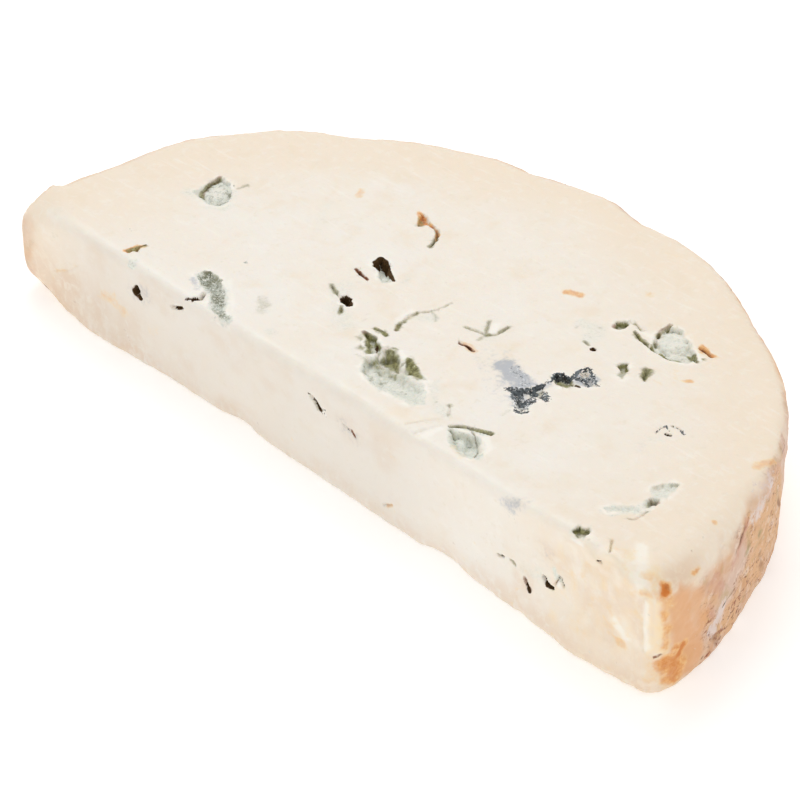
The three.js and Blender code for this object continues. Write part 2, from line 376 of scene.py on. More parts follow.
# %% hollows of the top face, in slab millimetres
# rim, depth, width of the steep bank, share of the depth that is gone at the front right
hollows = {
    "left_end": ([(-49.4, 19.7), (-49.1, 21.6), (-49.7, 23.4), (-50, 25.3), (-49.2, 25.8), (-47.2, 25.5), (-45.2, 24.1), (-43.2, 21.8), (-43.5, 19.8), (-45.4, 19.1), (-47.4, 19.2)], 0.75, 0.4, 0.3),
    "triangle": ([(-14.8, 24.9), (-15.3, 26.2), (-15.1, 27.6), (-13.8, 27.5), (-12.3, 26.2), (-10.7, 25.3), (-9.4, 24.6), (-10.2, 23), (-12, 23.7), (-13.3, 24.9)], 2.1, 0.4, 0.8),
    "small_dark": ([(-12.1, 16.1), (-11.8, 17), (-10.5, 16.8), (-9.2, 15.8), (-9.5, 14.9), (-10.8, 15.1)], 1.7, 0.35, 0.4),
    "green_back": ([(-3.2, 12.6), (-1, 13.1), (0.8, 12.2), (2, 11.2), (2.2, 9.6), (1.2, 8.4), (-0.6, 10.2), (-2.2, 11.8)], 1.5, 0.5, 0.5),
    "green_deep": ([(1.8, 10.4), (2.6, 12.1), (4, 12.4), (5.4, 11.7), (6.6, 12.6), (8.8, 12), (10.7, 11.1), (12.4, 10.7), (9, 9), (7, 7.8), (4, 7.6), (2.2, 8.8)], 2.1, 1.4, 0.45),
    "green_slope": ([(1.4, 8.6), (4, 9.6), (9, 9.6), (12.4, 9.8), (14, 8.4), (15.6, 6.4), (14.8, 5), (12, 4.6), (8, 4.3), (5, 4.6), (3, 5.6), (2.4, 7.2)], 1.9, 1.2, 0.75),
    "by_the_cut": ([(22, 4.7), (23.2, 5.4), (25, 6.3), (26.8, 6.7), (28.7, 6.2), (29.6, 4.5), (29.8, 3), (28.8, 1.6), (26.9, 1.7), (24.4, 2.7)], 1.8, 0.9, 0.5),
    "dark_blue_low": ([(24.6, 21.4), (25.4, 20.4), (27, 19.2), (26.6, 18.4), (25.4, 18), (25.8, 16.6), (27.2, 15.4), (26.8, 14.4), (25.4, 14.4), (24.2, 16), (22, 17.2), (23, 18.4), (23.4, 19.6)], 0.7, 0.5, 0.3),
    "dark_blue_high": ([(25.9, 27.4), (26.3, 28.6), (28.6, 27.4), (30.2, 26.4), (29.4, 25.2), (27.2, 25.2)], 0.9, 0.4, 0.3),
    "dark_blue_olive": ([(24.2, 24.1), (24.6, 25.1), (26.2, 25.2), (28.6, 24.4), (27.6, 23.2), (26, 22.3), (25.2, 22.4)], 1.2, 0.35, 0.6),
    "back_olive": ([(21.4, 39), (21.1, 40.1), (21.8, 41.2), (22.7, 41.3), (23, 40), (22.7, 39), (22, 38.5)], 1.1, 0.4, 0.5),
    "back_lump": ([(27.2, 44.6), (26.9, 43.2), (27.2, 42), (27.8, 41.2), (28.3, 40), (28.8, 38.8), (31.4, 38.4), (33.4, 38.4), (35.2, 39.8), (36, 41.2), (33.8, 42.9), (31.4, 44.2), (28.8, 45.4)], 1.1, 0.45, 0.3),
    "back_blob": ([(28.4, 32.4), (29.4, 33.6), (30.6, 32.2), (31.3, 30.2), (30.4, 30.3), (29.4, 31.6)], 1.0, 0.5, 0.6),
    "right_dark": ([(52.4, 12.3), (52.6, 13), (53.6, 13.6), (54.1, 12.5), (54.1, 11.3), (53.6, 11)], 1.1, 0.4, 0.4),
    "right_pale": ([(52.3, 13.6), (51, 14.9), (51.5, 16.6), (53.3, 18.2), (54.1, 16.5), (54, 14.8)], 0.6, 0.6, 0.7),
    "right_low": ([(49.5, 6.9), (50.5, 9.2), (53, 10.7), (53.6, 10), (52.1, 8.4), (50.6, 6.9)], 0.5, 0.6, 0.6),
    "right_edge": ([(49.9, 0.7), (50.1, 1.9), (51, 2.1), (50.9, 3.2), (52.1, 1.7), (52.2, 0.5), (51.1, 0.3)], 1.5, 0.45, 0.5),
    "amber_slit": ([(-18, 37.1), (-19.3, 38.9), (-20, 40.8), (-18.3, 40.3), (-16.6, 39.6), (-16.8, 38.8)], 1.1, 0.4, 0.4),
    "amber_notch": ([(-43.3, 4.5), (-42.1, 2.8), (-42.9, 2.1), (-43.7, 1.4), (-43.6, 2.6)], 1.3, 0.35, 0.4),
    "rough_patch": ([(-32, 5.1), (-31.9, 7), (-30.6, 7.4), (-28, 6.9), (-25.2, 5.3), (-23, 3.8), (-21.3, 1.8), (-19.4, 1.4), (-19, 0.6), (-21.9, 0.5), (-24.8, 0.8), (-26.2, 3), (-28.7, 3.6)], 0.5, 0.8, 0.3),
}

# line, half width, depth
slits = {
    "amber_tail": ([(-17, 39.2), (-15, 38.9), (-13.9, 38), (-12.9, 36.4), (-12.4, 34.9)], 0.28, 1.2),
    "under_triangle": ([(-15.8, 22.8), (-14.3, 22.4), (-12.6, 22.1)], 0.17, 0.8),
    "dark_tail": ([(-10.2, 14.8), (-9.2, 13.6)], 0.25, 0.9),
    "dark_lead": ([(-15.2, 17.3), (-13.4, 16.5), (-12.2, 16.2)], 0.26, 0.6),
    "green_line": ([(-2.6, 14.2), (-1.2, 14.5), (-0.3, 14.2)], 0.2, 0.4),
    "middle_curve": ([(-0.3, 16.3), (-1.3, 18.4), (-1.7, 20.2), (-1.4, 21.6), (-0.4, 22.9), (0.2, 24.4), (0.5, 26.8)], 0.18, 0.4),
    "brown_slit": ([(8.6, 20.4), (9.8, 20.4), (11.5, 20.3)], 0.2, 1.0),
    "olive_vee_left": ([(7.8, 27.3), (8.8, 25.8), (9.8, 24.5), (8.4, 24.2), (6.3, 23.7)], 0.16, 0.35),
    "olive_vee_right": ([(10.8, 28.1), (10.9, 26.6), (10.6, 25.4), (9.9, 24.4)], 0.2, 0.4),
    "right_of_green": ([(18.4, 8.7), (19.4, 7.8), (20, 6.8)], 0.2, 0.35),
    "crescent": ([(27.1, 45.4), (27, 43.8), (27.1, 42.6), (27.8, 41.4), (28.6, 40.1)], 0.16, 1.2),
    "back_groove": ([(24.6, 40.2), (26.4, 39.4), (28.4, 39.1), (30.6, 38.7), (32.4, 38.9), (34, 39.6)], 0.32, 1.1),
    "olive_arc": ([(22.3, 41.6), (23.8, 41.6), (25, 41.1)], 0.22, 0.6),
    "orange_slit": ([(34, 43.8), (35.2, 43.7), (36.6, 43.3)], 0.36, 1.1),
    "lump_end": ([(34.6, 41.2), (36, 40.9)], 0.3, 1.0),
    "pinhole": ([(23.5, 32.6), (23.8, 32.4)], 0.34, 1.6),
    "pinhole_lead": ([(21.2, 33.1), (22.4, 32.8)], 0.16, 0.4),
    "back_small_olive": ([(32.4, 34.4), (33.2, 32.8), (33.8, 32.4)], 0.4, 0.7),
    "curl_left": ([(43.2, 24.4), (43, 25.6), (43.2, 26.4), (44.2, 26)], 0.16, 0.35),
    "curl_right": ([(43.8, 27), (45, 27.3), (46.2, 26.8)], 0.16, 0.35),
    "curl_dot": ([(44.4, 25.1), (45, 25.3)], 0.2, 0.8),
    "right_curve": ([(53.2, 7.7), (54.2, 8.1), (54.3, 9.4), (54.2, 10.6)], 0.14, 0.4),
    "cut_band": ([(21.9, 5.3), (22.9, 6.3), (24.2, 7), (25.5, 7.5), (27.1, 8.2)], 0.34, 0.6),
    "lump_seam": ([(23.8, 7), (25.4, 6.5), (27.5, 5.4), (28.4, 3.8)], 0.14, 2.0),
    "fan_left": ([(17, 1.4), (19.6, 5.4)], 0.2, 0.2),
    "fan_right": ([(19.4, 0.8), (20.9, 4.8)], 0.2, 0.22),
    "ridge_nick": ([(55.1, 2.8), (56, 1.6), (56.6, 0.8)], 0.16, 0.4),
    "patch_crack": ([(-27.5, 1), (-26.7, 1.7), (-27.5, 2.9)], 0.36, 1.4),
    "crack_lead": ([(-28.6, 0.5), (-27.6, 0.9)], 0.16, 0.6),
    "lump_crescent": ([(-49.6, 25.5), (-49.5, 23.6), (-48.9, 21.8), (-48.7, 20.5), (-47.2, 19.7)], 0.22, 0.7),
}

# middle, half sizes, turn in degrees, level of its crown below the top face, height of the lump
lumps = [
    (-46.9, 22.7, 3.7, 2.9, -50, 0.1, 0.9),
    (-18.0, 38.2, 0.8, 0.6, 20, 0.3, 1.6),
    (1.9, 11.4, 0.8, 1.8, 30, 0.2, 1.8),
    (5.3, 12.0, 1.5, 0.6, -41, 0.2, 1.4),
    (25.2, 4.2, 1.7, 1.0, -40, 0.7, 1.4),
    (28.3, 5.8, 1.5, 0.9, -60, 0.15, 1.6),
    (26.6, 2.7, 0.9, 0.6, -35, 0.5, 1.2),
    (29.9, 42.8, 2.9, 2.7, -35, 0.1, 1.1),
    (33.6, 40.7, 1.6, 0.9, 10, 0.4, 1.1),
    (26.4, 41.2, 1.9, 0.7, 10, 0.15, 1.0),
    (32.6, 41.6, 0.6, 0.5, 0, 0.3, 1.2),
    (5.6, 6.4, 1.6, 0.8, -20, 0.9, 1.0),
]
print(len(hollows), "hollows,", len(slits), "slits,", len(lumps), "lumps")

# %% pits of the cut face: line of x and height, half width, depth
cut_pits = {
    "left_hole": ([(-40.1, 12.9), (-39.6, 13.6)], 0.62, 1.6),
    "left_lobe": ([(-39.1, 12.7), (-38.9, 12.5)], 0.36, 1.2),
    "left_crack": ([(-31.6, 14.6), (-30.4, 15), (-29.2, 15.6)], 0.28, 0.9),
    "middle_hole": ([(-0.9, 14.8), (-0.2, 14.4), (0.3, 14), (0.8, 13.5)], 0.45, 1.4),
    "middle_slit": ([(5.7, 13.5), (7.4, 13.3), (8.3, 12.6)], 0.16, 0.5),
    "low_slit": ([(14, 3.5), (15.7, 4.5)], 0.2, 0.4),
    "right_slit": ([(36.8, 8.2), (38, 8.6)], 0.2, 0.8),
    "right_dot": ([(39.4, 8.8), (40.2, 8.5)], 0.2, 0.4),
    "amber_hole": ([(42.2, 7), (42.7, 6.2), (43, 5.5)], 0.34, 1.2),
    "black_hole": ([(45.7, 9.5), (46.2, 8.7), (47.2, 8.6)], 0.42, 1.7),
    "crevice": ([(47.7, 9.6), (48.5, 11.6), (49.2, 10.1)], 0.16, 0.7),
    "top_spot": ([(55.2, 18.4), (55.8, 18.6)], 0.25, 0.7),
    "wedge": ([(57.2, 8.8), (58.6, 7.2), (60.2, 7)], 0.5, 0.12),
    "beside_tongue": ([(63.5, 17), (63.5, 12), (63.8, 8)], 0.3, 0.2),
    "crease": ([(-60, 6.8), (-56, 8.9), (-53.9, 10.9)], 0.2, 0.1),
}
print(len(cut_pits), "pits in the cut face")

# %% [markdown]
# ## A map of the colours
# The colours follow the mould. Each brush stroke below is a line on one face: which colour, how
# strong, where it runs, half its width and how soft its edge is. The same lines are used twice:
# here to tell the skin where it needs small faces, and later to paint.

# %% strokes on the top face
# The dark strokes lay dark brown in deep holes, cracks and on the far walls of hollows: partly brown mould, partly
# painted shade.
top_strokes = [
    ("dark", 1.0, [(-14.9, 25.2), (-15.2, 27.2), (-14, 27.3)], 0.4, 0.3),
    ("dark", 1.0, [(-14, 27.3), (-12.6, 26.3), (-11.1, 25.5), (-9.7, 24.7)], 0.28, 0.3),
    ("dark", 0.6, [(-49.7, 25.5), (-49.5, 24), (-49.2, 22.6), (-48.4, 21)], 0.14, 0.35),
    ("rust", 0.6, [(-49.9, 25.8), (-49.6, 23.6), (-48.6, 21.4), (-47.8, 20)], 0.25, 0.5),
    ("moss", 0.42, [(-47.2, 23.6), (-45.4, 21.6)], 2.0, 1.4),
    ("white_curd_and_highlight", 0.3, [(-47.6, 23.6), (-46, 21.4)], 0.4, 1.2),
    ("olive", 0.75, [(-49.6, 25.4), (-49.3, 22.6), (-48.6, 20.6), (-47, 19.8)], 0.25, 0.4),
    ("olive", 0.6, [(-45.2, 25.2), (-44.8, 26.8)], 0.3, 0.6),
    ("veil", 0.5, [(-45, 24.6), (-42.6, 20.6), (-44.6, 18.6)], 0.5, 1.0),
    ("veil", 0.55, [(-50, 19.4), (-43, 20.2)], 0.8, 1.6),
    ("veil", 0.45, [(-13.5, 18), (-10, 14), (-6, 11.6)], 1.2, 2.4),
    ("olive", 0.6, [(-15.2, 17.3), (-13.4, 16.5)], 0.25, 0.6),
    ("olive", 0.8, [(-10.2, 14.7), (-9.1, 13.5)], 0.2, 0.5),
    ("olive", 0.4, [(-6, 16), (-4.8, 13.4)], 0.15, 0.5),
    ("rust", 0.9, [(-15.8, 22.8), (-14.3, 22.4), (-12.6, 22.1)], 0.14, 0.35),
    ("dark", 0.6, [(-15.4, 22.7), (-13.6, 22.3)], 0.08, 0.25),
    ("veil", 0.5, [(-8.8, 27), (-8, 25.6)], 0.4, 0.8),
    ("veil", 0.35, [(-7, 32), (-6, 30)], 0.5, 0.9),
    ("veil", 0.3, [(-32, 32), (-28, 26.4)], 0.8, 1.8),
    ("veil", 0.5, (-12.6, 3), 0.8, 1.4),
    ("olive", 0.42, [(-20, 7.8), (-17.6, 5.8)], 0.6, 1.2),
    ("dark", 0.8, [(-28.8, 0.4), (-27.6, 0.9)], 0.1, 0.3),
    ("dark", 1.0, [(-27.5, 1), (-26.7, 1.6)], 0.38, 0.3),
    ("dark", 1.0, [(-26.7, 1.7), (-27.5, 2.9)], 0.2, 0.3),
    ("moss", 0.72, [(-30.6, 6), (-27.8, 5.3)], 0.9, 1.6),
    ("moss", 0.62, [(-26.6, 4.4), (-23.6, 2.4)], 0.7, 1.5),
    ("moss", 0.55, [(-23, 1.4), (-20, 0.7)], 0.4, 1.2),
    ("white_curd_and_highlight", 0.8, [(-32.4, 5), (-29, 3), (-26.6, 2)], 0.1, 0.6),
    ("white_curd_and_highlight", 0.7, [(-27, 7.4), (-23.6, 5.2), (-20.8, 2.6)], 0.1, 0.6),
    ("olive", 0.8, [(-31, 6.6), (-28.4, 6.2)], 0.5, 0.9),
    ("olive", 0.5, [(-26, 3.4), (-24.6, 2.8)], 0.4, 0.9),
    ("olive", 0.6, [(-31.4, 6.4), (-29.8, 7), (-28, 6.8)], 0.35, 0.5),
    ("olive", 0.5, [(-23.6, 1.4), (-21, 0.6)], 0.3, 0.5),
    ("moss", 0.55, (-28.8, 12.4), 0.2, 0.5),
    ("olive", 0.4, (-31.7, 10.2), 0.15, 0.5),
    ("rust", 0.45, (-25, 7.5), 0.15, 0.5),
    ("amber", 0.45, [(-25.4, 10.2), (-24.4, 11.2)], 0.2, 0.6),
    ("olive", 0.4, (-27.2, 10), 0.2, 0.6),
    ("haze", 0.5, [(-31.6, 4), (-29.2, 3.2)], 0.3, 0.8),
    ("rust", 0.4, (-22, 8.8), 0.15, 0.4),
    ("veil", 0.75, (-41, 0.5), 0.7, 0.8),
    ("olive", 0.7, [(-13.2, 37), (-12.8, 36), (-12.3, 34.8)], 0.3, 0.5),
    ("amber", 0.9, [(-19.6, 40.2), (-18, 38.9)], 0.6, 0.5),
    ("rust", 0.6, [(-19.8, 40.2), (-18.4, 39.6)], 0.2, 0.4),
    ("olive", 0.6, [(-19, 39.2), (-17.4, 38)], 0.3, 0.4),
    ("amber", 0.85, [(-17, 39.2), (-15, 38.8), (-13.6, 37.6)], 0.22, 0.4),
    ("amber", 0.85, [(-44, 1.6), (-43.4, 2.8), (-43.1, 4.2)], 0.4, 0.4),
    ("olive", 0.75, [(-43.9, 1.8), (-43.3, 2.8), (-43, 4.4)], 0.25, 0.4),
    ("dark", 0.7, [(-43.1, 3.9), (-42.9, 4.8)], 0.12, 0.25),
    ("olive", 0.5, [(-16, 39.1), (-13.6, 37.6)], 0.2, 0.4),
    ("amber", 0.55, [(-31.4, 38.4), (-30.2, 36.8)], 0.5, 1.0),
    ("olive", 0.9, [(-2.6, 14.2), (-1.2, 14.5), (-0.3, 14.2)], 0.25, 0.5),
    ("dark", 0.8, [(0.4, 11.6), (1.3, 11), (1.8, 10.2)], 0.22, 0.4),
    ("olive", 0.8, [(3.2, 11.8), (5, 10.8)], 1.0, 1.0),
    ("olive", 0.5, [(1.6, 10), (4, 9.9), (6.6, 9.5)], 0.5, 1.8),
    ("olive", 0.8, [(-2, 11.9), (0.4, 9.8)], 0.8, 0.9),
    ("olive", 0.5, [(0.6, 8.2), (2.8, 7.6)], 0.5, 0.9),
    ("olive", 0.9, [(6.6, 12.2), (8.2, 11.4), (10.4, 10.4)], 0.7, 0.6),
    ("rust", 0.35, [(7.4, 12), (9, 11.2), (10.8, 10.6)], 0.3, 0.6),
    ("white_curd_and_highlight", 1.0, [(4.2, 13), (5.4, 12.2), (6.9, 10.6)], 0.3, 0.35),
    ("dark", 0.55, [(3.4, 12.2), (4.9, 11.4)], 0.3, 0.8),
    ("dark", 0.5, [(9.2, 11.3), (10.5, 10.2)], 0.2, 0.5),
    ("rust", 0.6, [(-3, 12.4), (-1.8, 12.2)], 0.4, 0.5),
    ("rust", 0.4, [(2.4, 11.8), (4.6, 11)], 0.7, 0.9),
    ("rust", 0.3, [(-1, 9.6), (1.4, 6.6)], 0.3, 0.9),
    ("veil", 0.5, [(13, 10.6), (16, 8), (20, 6.6)], 0.6, 1.6),
    ("olive", 0.6, (16.6, 7.9), 0.3, 0.6),
    ("olive", 0.55, (18.5, 8.6), 0.25, 0.6),
    ("olive", 0.45, (19.8, 7.1), 0.25, 0.6),
    ("olive", 0.75, [(21.9, 5.3), (22.9, 6.4), (24.2, 7.1), (25.5, 7.6), (27.1, 8.4)], 0.28, 0.4),
    ("veil", 0.8, [(22.6, 5.4), (24.4, 6.6), (26.8, 7.4)], 0.3, 0.4),
    ("dark", 0.6, [(23.8, 7), (25.4, 6.5), (27.5, 5.4), (28.4, 3.8)], 0.06, 0.3),
    ("amber", 0.42, [(25.6, 2.2), (27.6, 1.8)], 0.5, 0.7),
    ("white_curd_and_highlight", 0.9, [(27.6, 6.8), (28.8, 5.2)], 0.6, 0.5),
    ("butter", 0.3, [(16.4, 1.4), (19.4, 5.4)], 0.3, 1.4),
    ("butter", 0.3, [(13.6, 1.6), (15.6, 3.6)], 0.4, 1.2),
    ("amber", 0.25, [(18.6, 1), (20.6, 4.6)], 0.2, 0.8),
    ("white_curd_and_highlight", 0.9, [(20.8, 0.8), (21.4, 4)], 0.4, 0.6),
    ("olive", 0.75, [(-0.3, 16.4), (-1.2, 18)], 0.2, 0.6),
    ("olive", 0.85, [(-1.3, 18.6), (-1.7, 20.2), (-1.4, 21.4)], 0.32, 0.6),
    ("rust", 0.4, [(-1.4, 18.8), (-1.6, 20.4)], 0.2, 0.5),
    ("olive", 0.55, [(-1.4, 21.6), (-0.4, 22.9), (0.2, 24.2)], 0.16, 0.6),
    ("olive", 0.45, [(0.2, 24.4), (0.5, 26.8)], 0.14, 0.5),
    ("white_curd_and_highlight", 0.8, [(-2, 18.6), (-2.2, 21.2)], 0.4, 0.6),
    ("veil", 0.5, [(-0.2, 20.6), (0.6, 22.6), (1.8, 21.5)], 0.5, 1.1),
    ("olive", 0.5, [(0, 23.2), (1.4, 22.8), (2.5, 21.8)], 0.2, 0.5),
    ("rust", 0.6, [(-0.3, 16.2), (-0.9, 17.4)], 0.2, 0.5),
    ("olive", 0.6, [(7.8, 27.3), (8.8, 25.8), (9.8, 24.5)], 0.16, 0.6),
    ("olive", 0.7, [(10.8, 28.1), (10.9, 26.6), (10.6, 25.4), (9.9, 24.4)], 0.25, 0.7),
    ("olive", 0.55, [(6.3, 23.7), (8.4, 24.2), (9.8, 24.4), (10, 23)], 0.18, 0.6),
    ("rust", 0.3, [(6.6, 24), (8.4, 24.6)], 0.15, 0.5),
    ("white_curd_and_highlight", 0.9, [(9.2, 27.2), (10, 25.8)], 0.3, 0.5),
    ("veil", 0.4, [(9, 26), (11, 24.6)], 1.2, 1.6),
    ("dark", 0.8, [(9.4, 20.5), (10.4, 20.4), (11.5, 20.3)], 0.1, 0.25),
    ("rust", 0.9, [(8.6, 20.4), (9.8, 20.5), (11.6, 20.3)], 0.16, 0.35),
    ("amber", 0.5, [(6.8, 20.6), (9.4, 20.8)], 0.1, 0.5),
    ("amber", 0.6, [(9.4, 20.7), (11.6, 20.3)], 0.5, 0.5),
    ("haze", 1.0, [(17.4, 20.8), (19.6, 20.6), (21.8, 19.8)], 1.3, 1.4),
    ("haze", 0.9, [(22, 19.4), (23.4, 17.6), (25.4, 16)], 0.9, 1.2),
    ("haze", 0.8, [(27.4, 25.6), (28.6, 26.8)], 1.1, 1.0),
    ("haze", 0.5, [(24.6, 20.4), (25, 22.2)], 0.6, 1.0),
    ("haze", 0.22, [(15, 21), (21, 17)], 2.5, 4.0),
    ("ink", 0.34, [(19, 21.3), (21, 20.8), (22.4, 19.6)], 0.8, 1.4),
    ("ink", 0.82, [(21.6, 17.4), (23, 17.2), (23.1, 18.1), (23.6, 19.2), (24.7, 19.4)], 0.34, 0.5),
    ("ink", 0.68, [(23.2, 17.6), (24.6, 16.8), (25.4, 17.2)], 0.9, 0.9),
    ("ink", 0.72, [(23.8, 17.3), (24.6, 16.2), (25.2, 16.6), (25.1, 17.8)], 0.28, 0.5),
    ("ink", 0.8, [(23.9, 19.9), (24.4, 21), (24.6, 22.1), (24.6, 23.1), (24, 24.4)], 0.22, 0.4),
    ("ink", 0.72, [(26.1, 19.6), (27.2, 19)], 0.25, 0.5),
    ("olive", 0.55, [(24.9, 19.2), (25.5, 20)], 0.6, 0.6),
    ("ink", 0.5, [(24.8, 18.8), (25.8, 20)], 0.5, 0.6),
    ("ink", 0.8, [(25.2, 15), (25.8, 14.4), (26.7, 14.5), (27.2, 15.3)], 0.26, 0.5),
    ("ink", 0.5, [(24.6, 16), (26.2, 15.4)], 0.6, 0.8),
    ("rust", 0.35, [(26.2, 16.9), (27.3, 16.9), (28.2, 16.8)], 0.16, 0.5),
    ("ink", 0.8, [(24.2, 24), (24.7, 25), (26.2, 25.1)], 0.18, 0.4),
    ("ink", 0.78, [(26.3, 25.2), (25.9, 26.9), (26.3, 28.6), (26.9, 28.4)], 0.28, 0.5),
    ("ink", 0.7, [(26.8, 28.4), (28.6, 27.4), (30.2, 26.4)], 0.26, 0.45),
    ("ink", 0.72, [(27, 25.2), (27.3, 26.8), (29.2, 25.9)], 0.2, 0.4),
    ("ink", 0.42, [(27, 27.4), (29, 26.6)], 0.7, 0.8),
    ("white_curd_and_highlight", 0.6, [(28, 25), (29.8, 25.2)], 0.2, 0.5),
    ("olive", 0.85, [(25.2, 23.6), (26.8, 23.8)], 0.9, 0.6),
    ("dark", 0.5, [(24.4, 24.2), (24.8, 25), (26.1, 24.9)], 0.16, 0.4),
    ("dark", 0.9, [(27.8, 24.3), (28.6, 24.5)], 0.22, 0.35),
    ("white_curd_and_highlight", 0.8, [(24.8, 40.8), (28, 41.2)], 0.3, 0.5),
    ("dark", 0.55, [(26.7, 44.4), (27, 43.2), (27.6, 42)], 0.1, 0.35),
    ("rust", 0.6, [(26.7, 45.4), (27, 43), (27.7, 41.8)], 0.2, 0.5),
    ("olive", 0.75, [(27.1, 45.4), (27, 43.8), (27.1, 42.6), (27.8, 41.4), (28.6, 40.1)], 0.2, 0.4),
    ("olive", 0.85, [(24.6, 40.3), (26.4, 39.5), (28.4, 39.2), (30.6, 38.8), (32.4, 39), (34, 39.6)], 0.28, 0.45),
    ("rust", 0.6, (21.7, 39.2), 0.5, 0.6),
    ("olive", 0.6, [(22.3, 41.6), (23.8, 41.6), (25, 41.1), (26, 41)], 0.2, 0.45),
    ("olive", 0.85, [(33.8, 41.7), (35, 41.6), (36.1, 41.5)], 0.3, 0.5),
    ("amber", 0.85, [(34, 44.1), (36.6, 43.5)], 0.55, 0.6),
    ("rust", 0.9, [(34.3, 43.7), (36.5, 43.3)], 0.22, 0.3),
    ("veil", 0.5, [(18, 36.2), (20.6, 36.4), (21.2, 34.4)], 0.9, 1.6),
    ("olive", 0.45, [(17.6, 36.2), (17.8, 34.8)], 0.15, 0.4),
    ("olive", 0.45, (20.5, 37), 0.3, 0.5),
    ("dark", 1.0, (23.6, 32.5), 0.35, 0.3),
    ("olive", 0.6, [(21.2, 33.1), (22.4, 32.8)], 0.15, 0.35),
    ("dark", 0.35, [(29.2, 32.6), (30.9, 30.6)], 0.3, 0.5),
    ("rust", 0.35, (29.8, 32), 0.4, 0.8),
    ("olive", 0.8, [(32.3, 34.4), (33.3, 32.9)], 0.45, 0.8),
    ("olive", 0.5, [(34.4, 33), (36.4, 33)], 0.1, 0.4),
    ("dark", 0.5, [(32.8, 32.7), (33.8, 32.4)], 0.2, 0.4),
    ("amber", 0.5, [(34, 33.4), (36.6, 33)], 0.3, 0.6),
    ("amber", 0.4, [(35, 37.5), (36, 36.6), (37, 35)], 0.3, 0.7),
    ("amber", 0.75, (38.5, 36.6), 0.5, 0.7),
    ("veil", 0.4, (38.5, 38.8), 0.3, 0.7),
    ("ink", 0.6, [(43.2, 24.4), (43, 25.6), (43.2, 26.4), (44.2, 26)], 0.12, 0.3),
    ("ink", 0.65, [(43.8, 27), (45, 27.3), (46.2, 26.8)], 0.15, 0.35),
    ("dark", 1.0, [(44.4, 25.1), (45, 25.3)], 0.16, 0.3),
    ("veil", 0.5, [(43.4, 22.6), (44.4, 23.4)], 0.4, 0.8),
    ("haze", 0.3, (43.6, 20.8), 0.8, 2.0),
    ("ink", 0.4, (41.6, 20.5), 0.2, 0.4),
    ("veil", 0.75, [(50.6, 7.4), (53.2, 10), (53.2, 13), (52.6, 16.6)], 0.9, 0.8),
    ("olive", 0.5, [(51.2, 15.4), (51.8, 16.8), (53.2, 17.9)], 0.08, 0.4),
    ("rust", 0.6, [(52.8, 13), (53.8, 12.8)], 0.4, 0.6),
    ("dark", 0.5, [(53.2, 12.4), (53.7, 11.4)], 0.12, 0.4),
    ("veil", 0.5, [(53, 10), (50.4, 7.4)], 0.7, 1.0),
    ("olive", 0.55, [(53.2, 7.7), (54.2, 8.1), (54.3, 9.4), (54.2, 10.6)], 0.08, 0.35),
    ("dark", 0.35, [(50.4, 1.6), (51.4, 1)], 0.16, 0.5),
    ("olive", 0.5, [(52.2, 0.8), (53, 0.7)], 0.1, 0.3),
    ("olive", 0.5, [(55.1, 2.8), (56, 1.6), (56.6, 0.8)], 0.1, 0.35),
    ("amber", 0.5, [(55, 3), (56.6, 1)], 0.2, 0.6),
    ("veil", 0.25, (55.6, 3.6), 0.8, 1.3),
    ("amber", 0.35, [(58.4, 3), (60, 0.4)], 0.8, 2.0),
    ("ink", 0.5, (40.4, 0.9), 0.2, 0.5),
    ("ink", 0.45, (39.2, 0.4), 0.2, 0.5),
    ("haze", 0.45, [(39.6, -0.2), (40.8, 1)], 0.6, 1.4),
    ("amber", 0.7, [(10.6, 40.4), (11.6, 40.9), (12.6, 41.2)], 0.4, 0.8),
    ("amber", 0.55, (19.5, 49), 0.7, 1.1),
    ("amber", 0.3, [(13, 59), (16, 58.6)], 0.8, 1.6),
    ("veil", 0.3, [(4, 46.6), (7, 45.4)], 0.3, 1.0),
    ("amber", 0.6, [(58, 28.6), (58.6, 31.6)], 0.5, 0.9),
    ("amber", 0.7, (61.8, 15.7), 0.3, 0.6),
    ("butter", 0.45, [(56.6, 0.6), (60, 1.4), (63, 2.2)], 0.8, 1.6),
    ("amber", 0.45, [(56.2, 1.8), (58, 2.2)], 0.5, 1.2),
    ("amber", 0.5, [(62, 1.2), (64, 1.6)], 0.4, 1.2),
    ("white_curd_and_highlight", 0.9, [(58.8, 4.4), (60.4, 2.6), (62, 1)], 0.6, 0.8),
    ("amber", 0.4, [(63, 3), (64, 2)], 0.4, 1.0),
    ("olive", 0.3, (-60.4, 1.2), 0.5, 1.6),
    ("veil", 0.3, [(-62, 1.6), (-58, 0.8)], 0.6, 1.6),
]
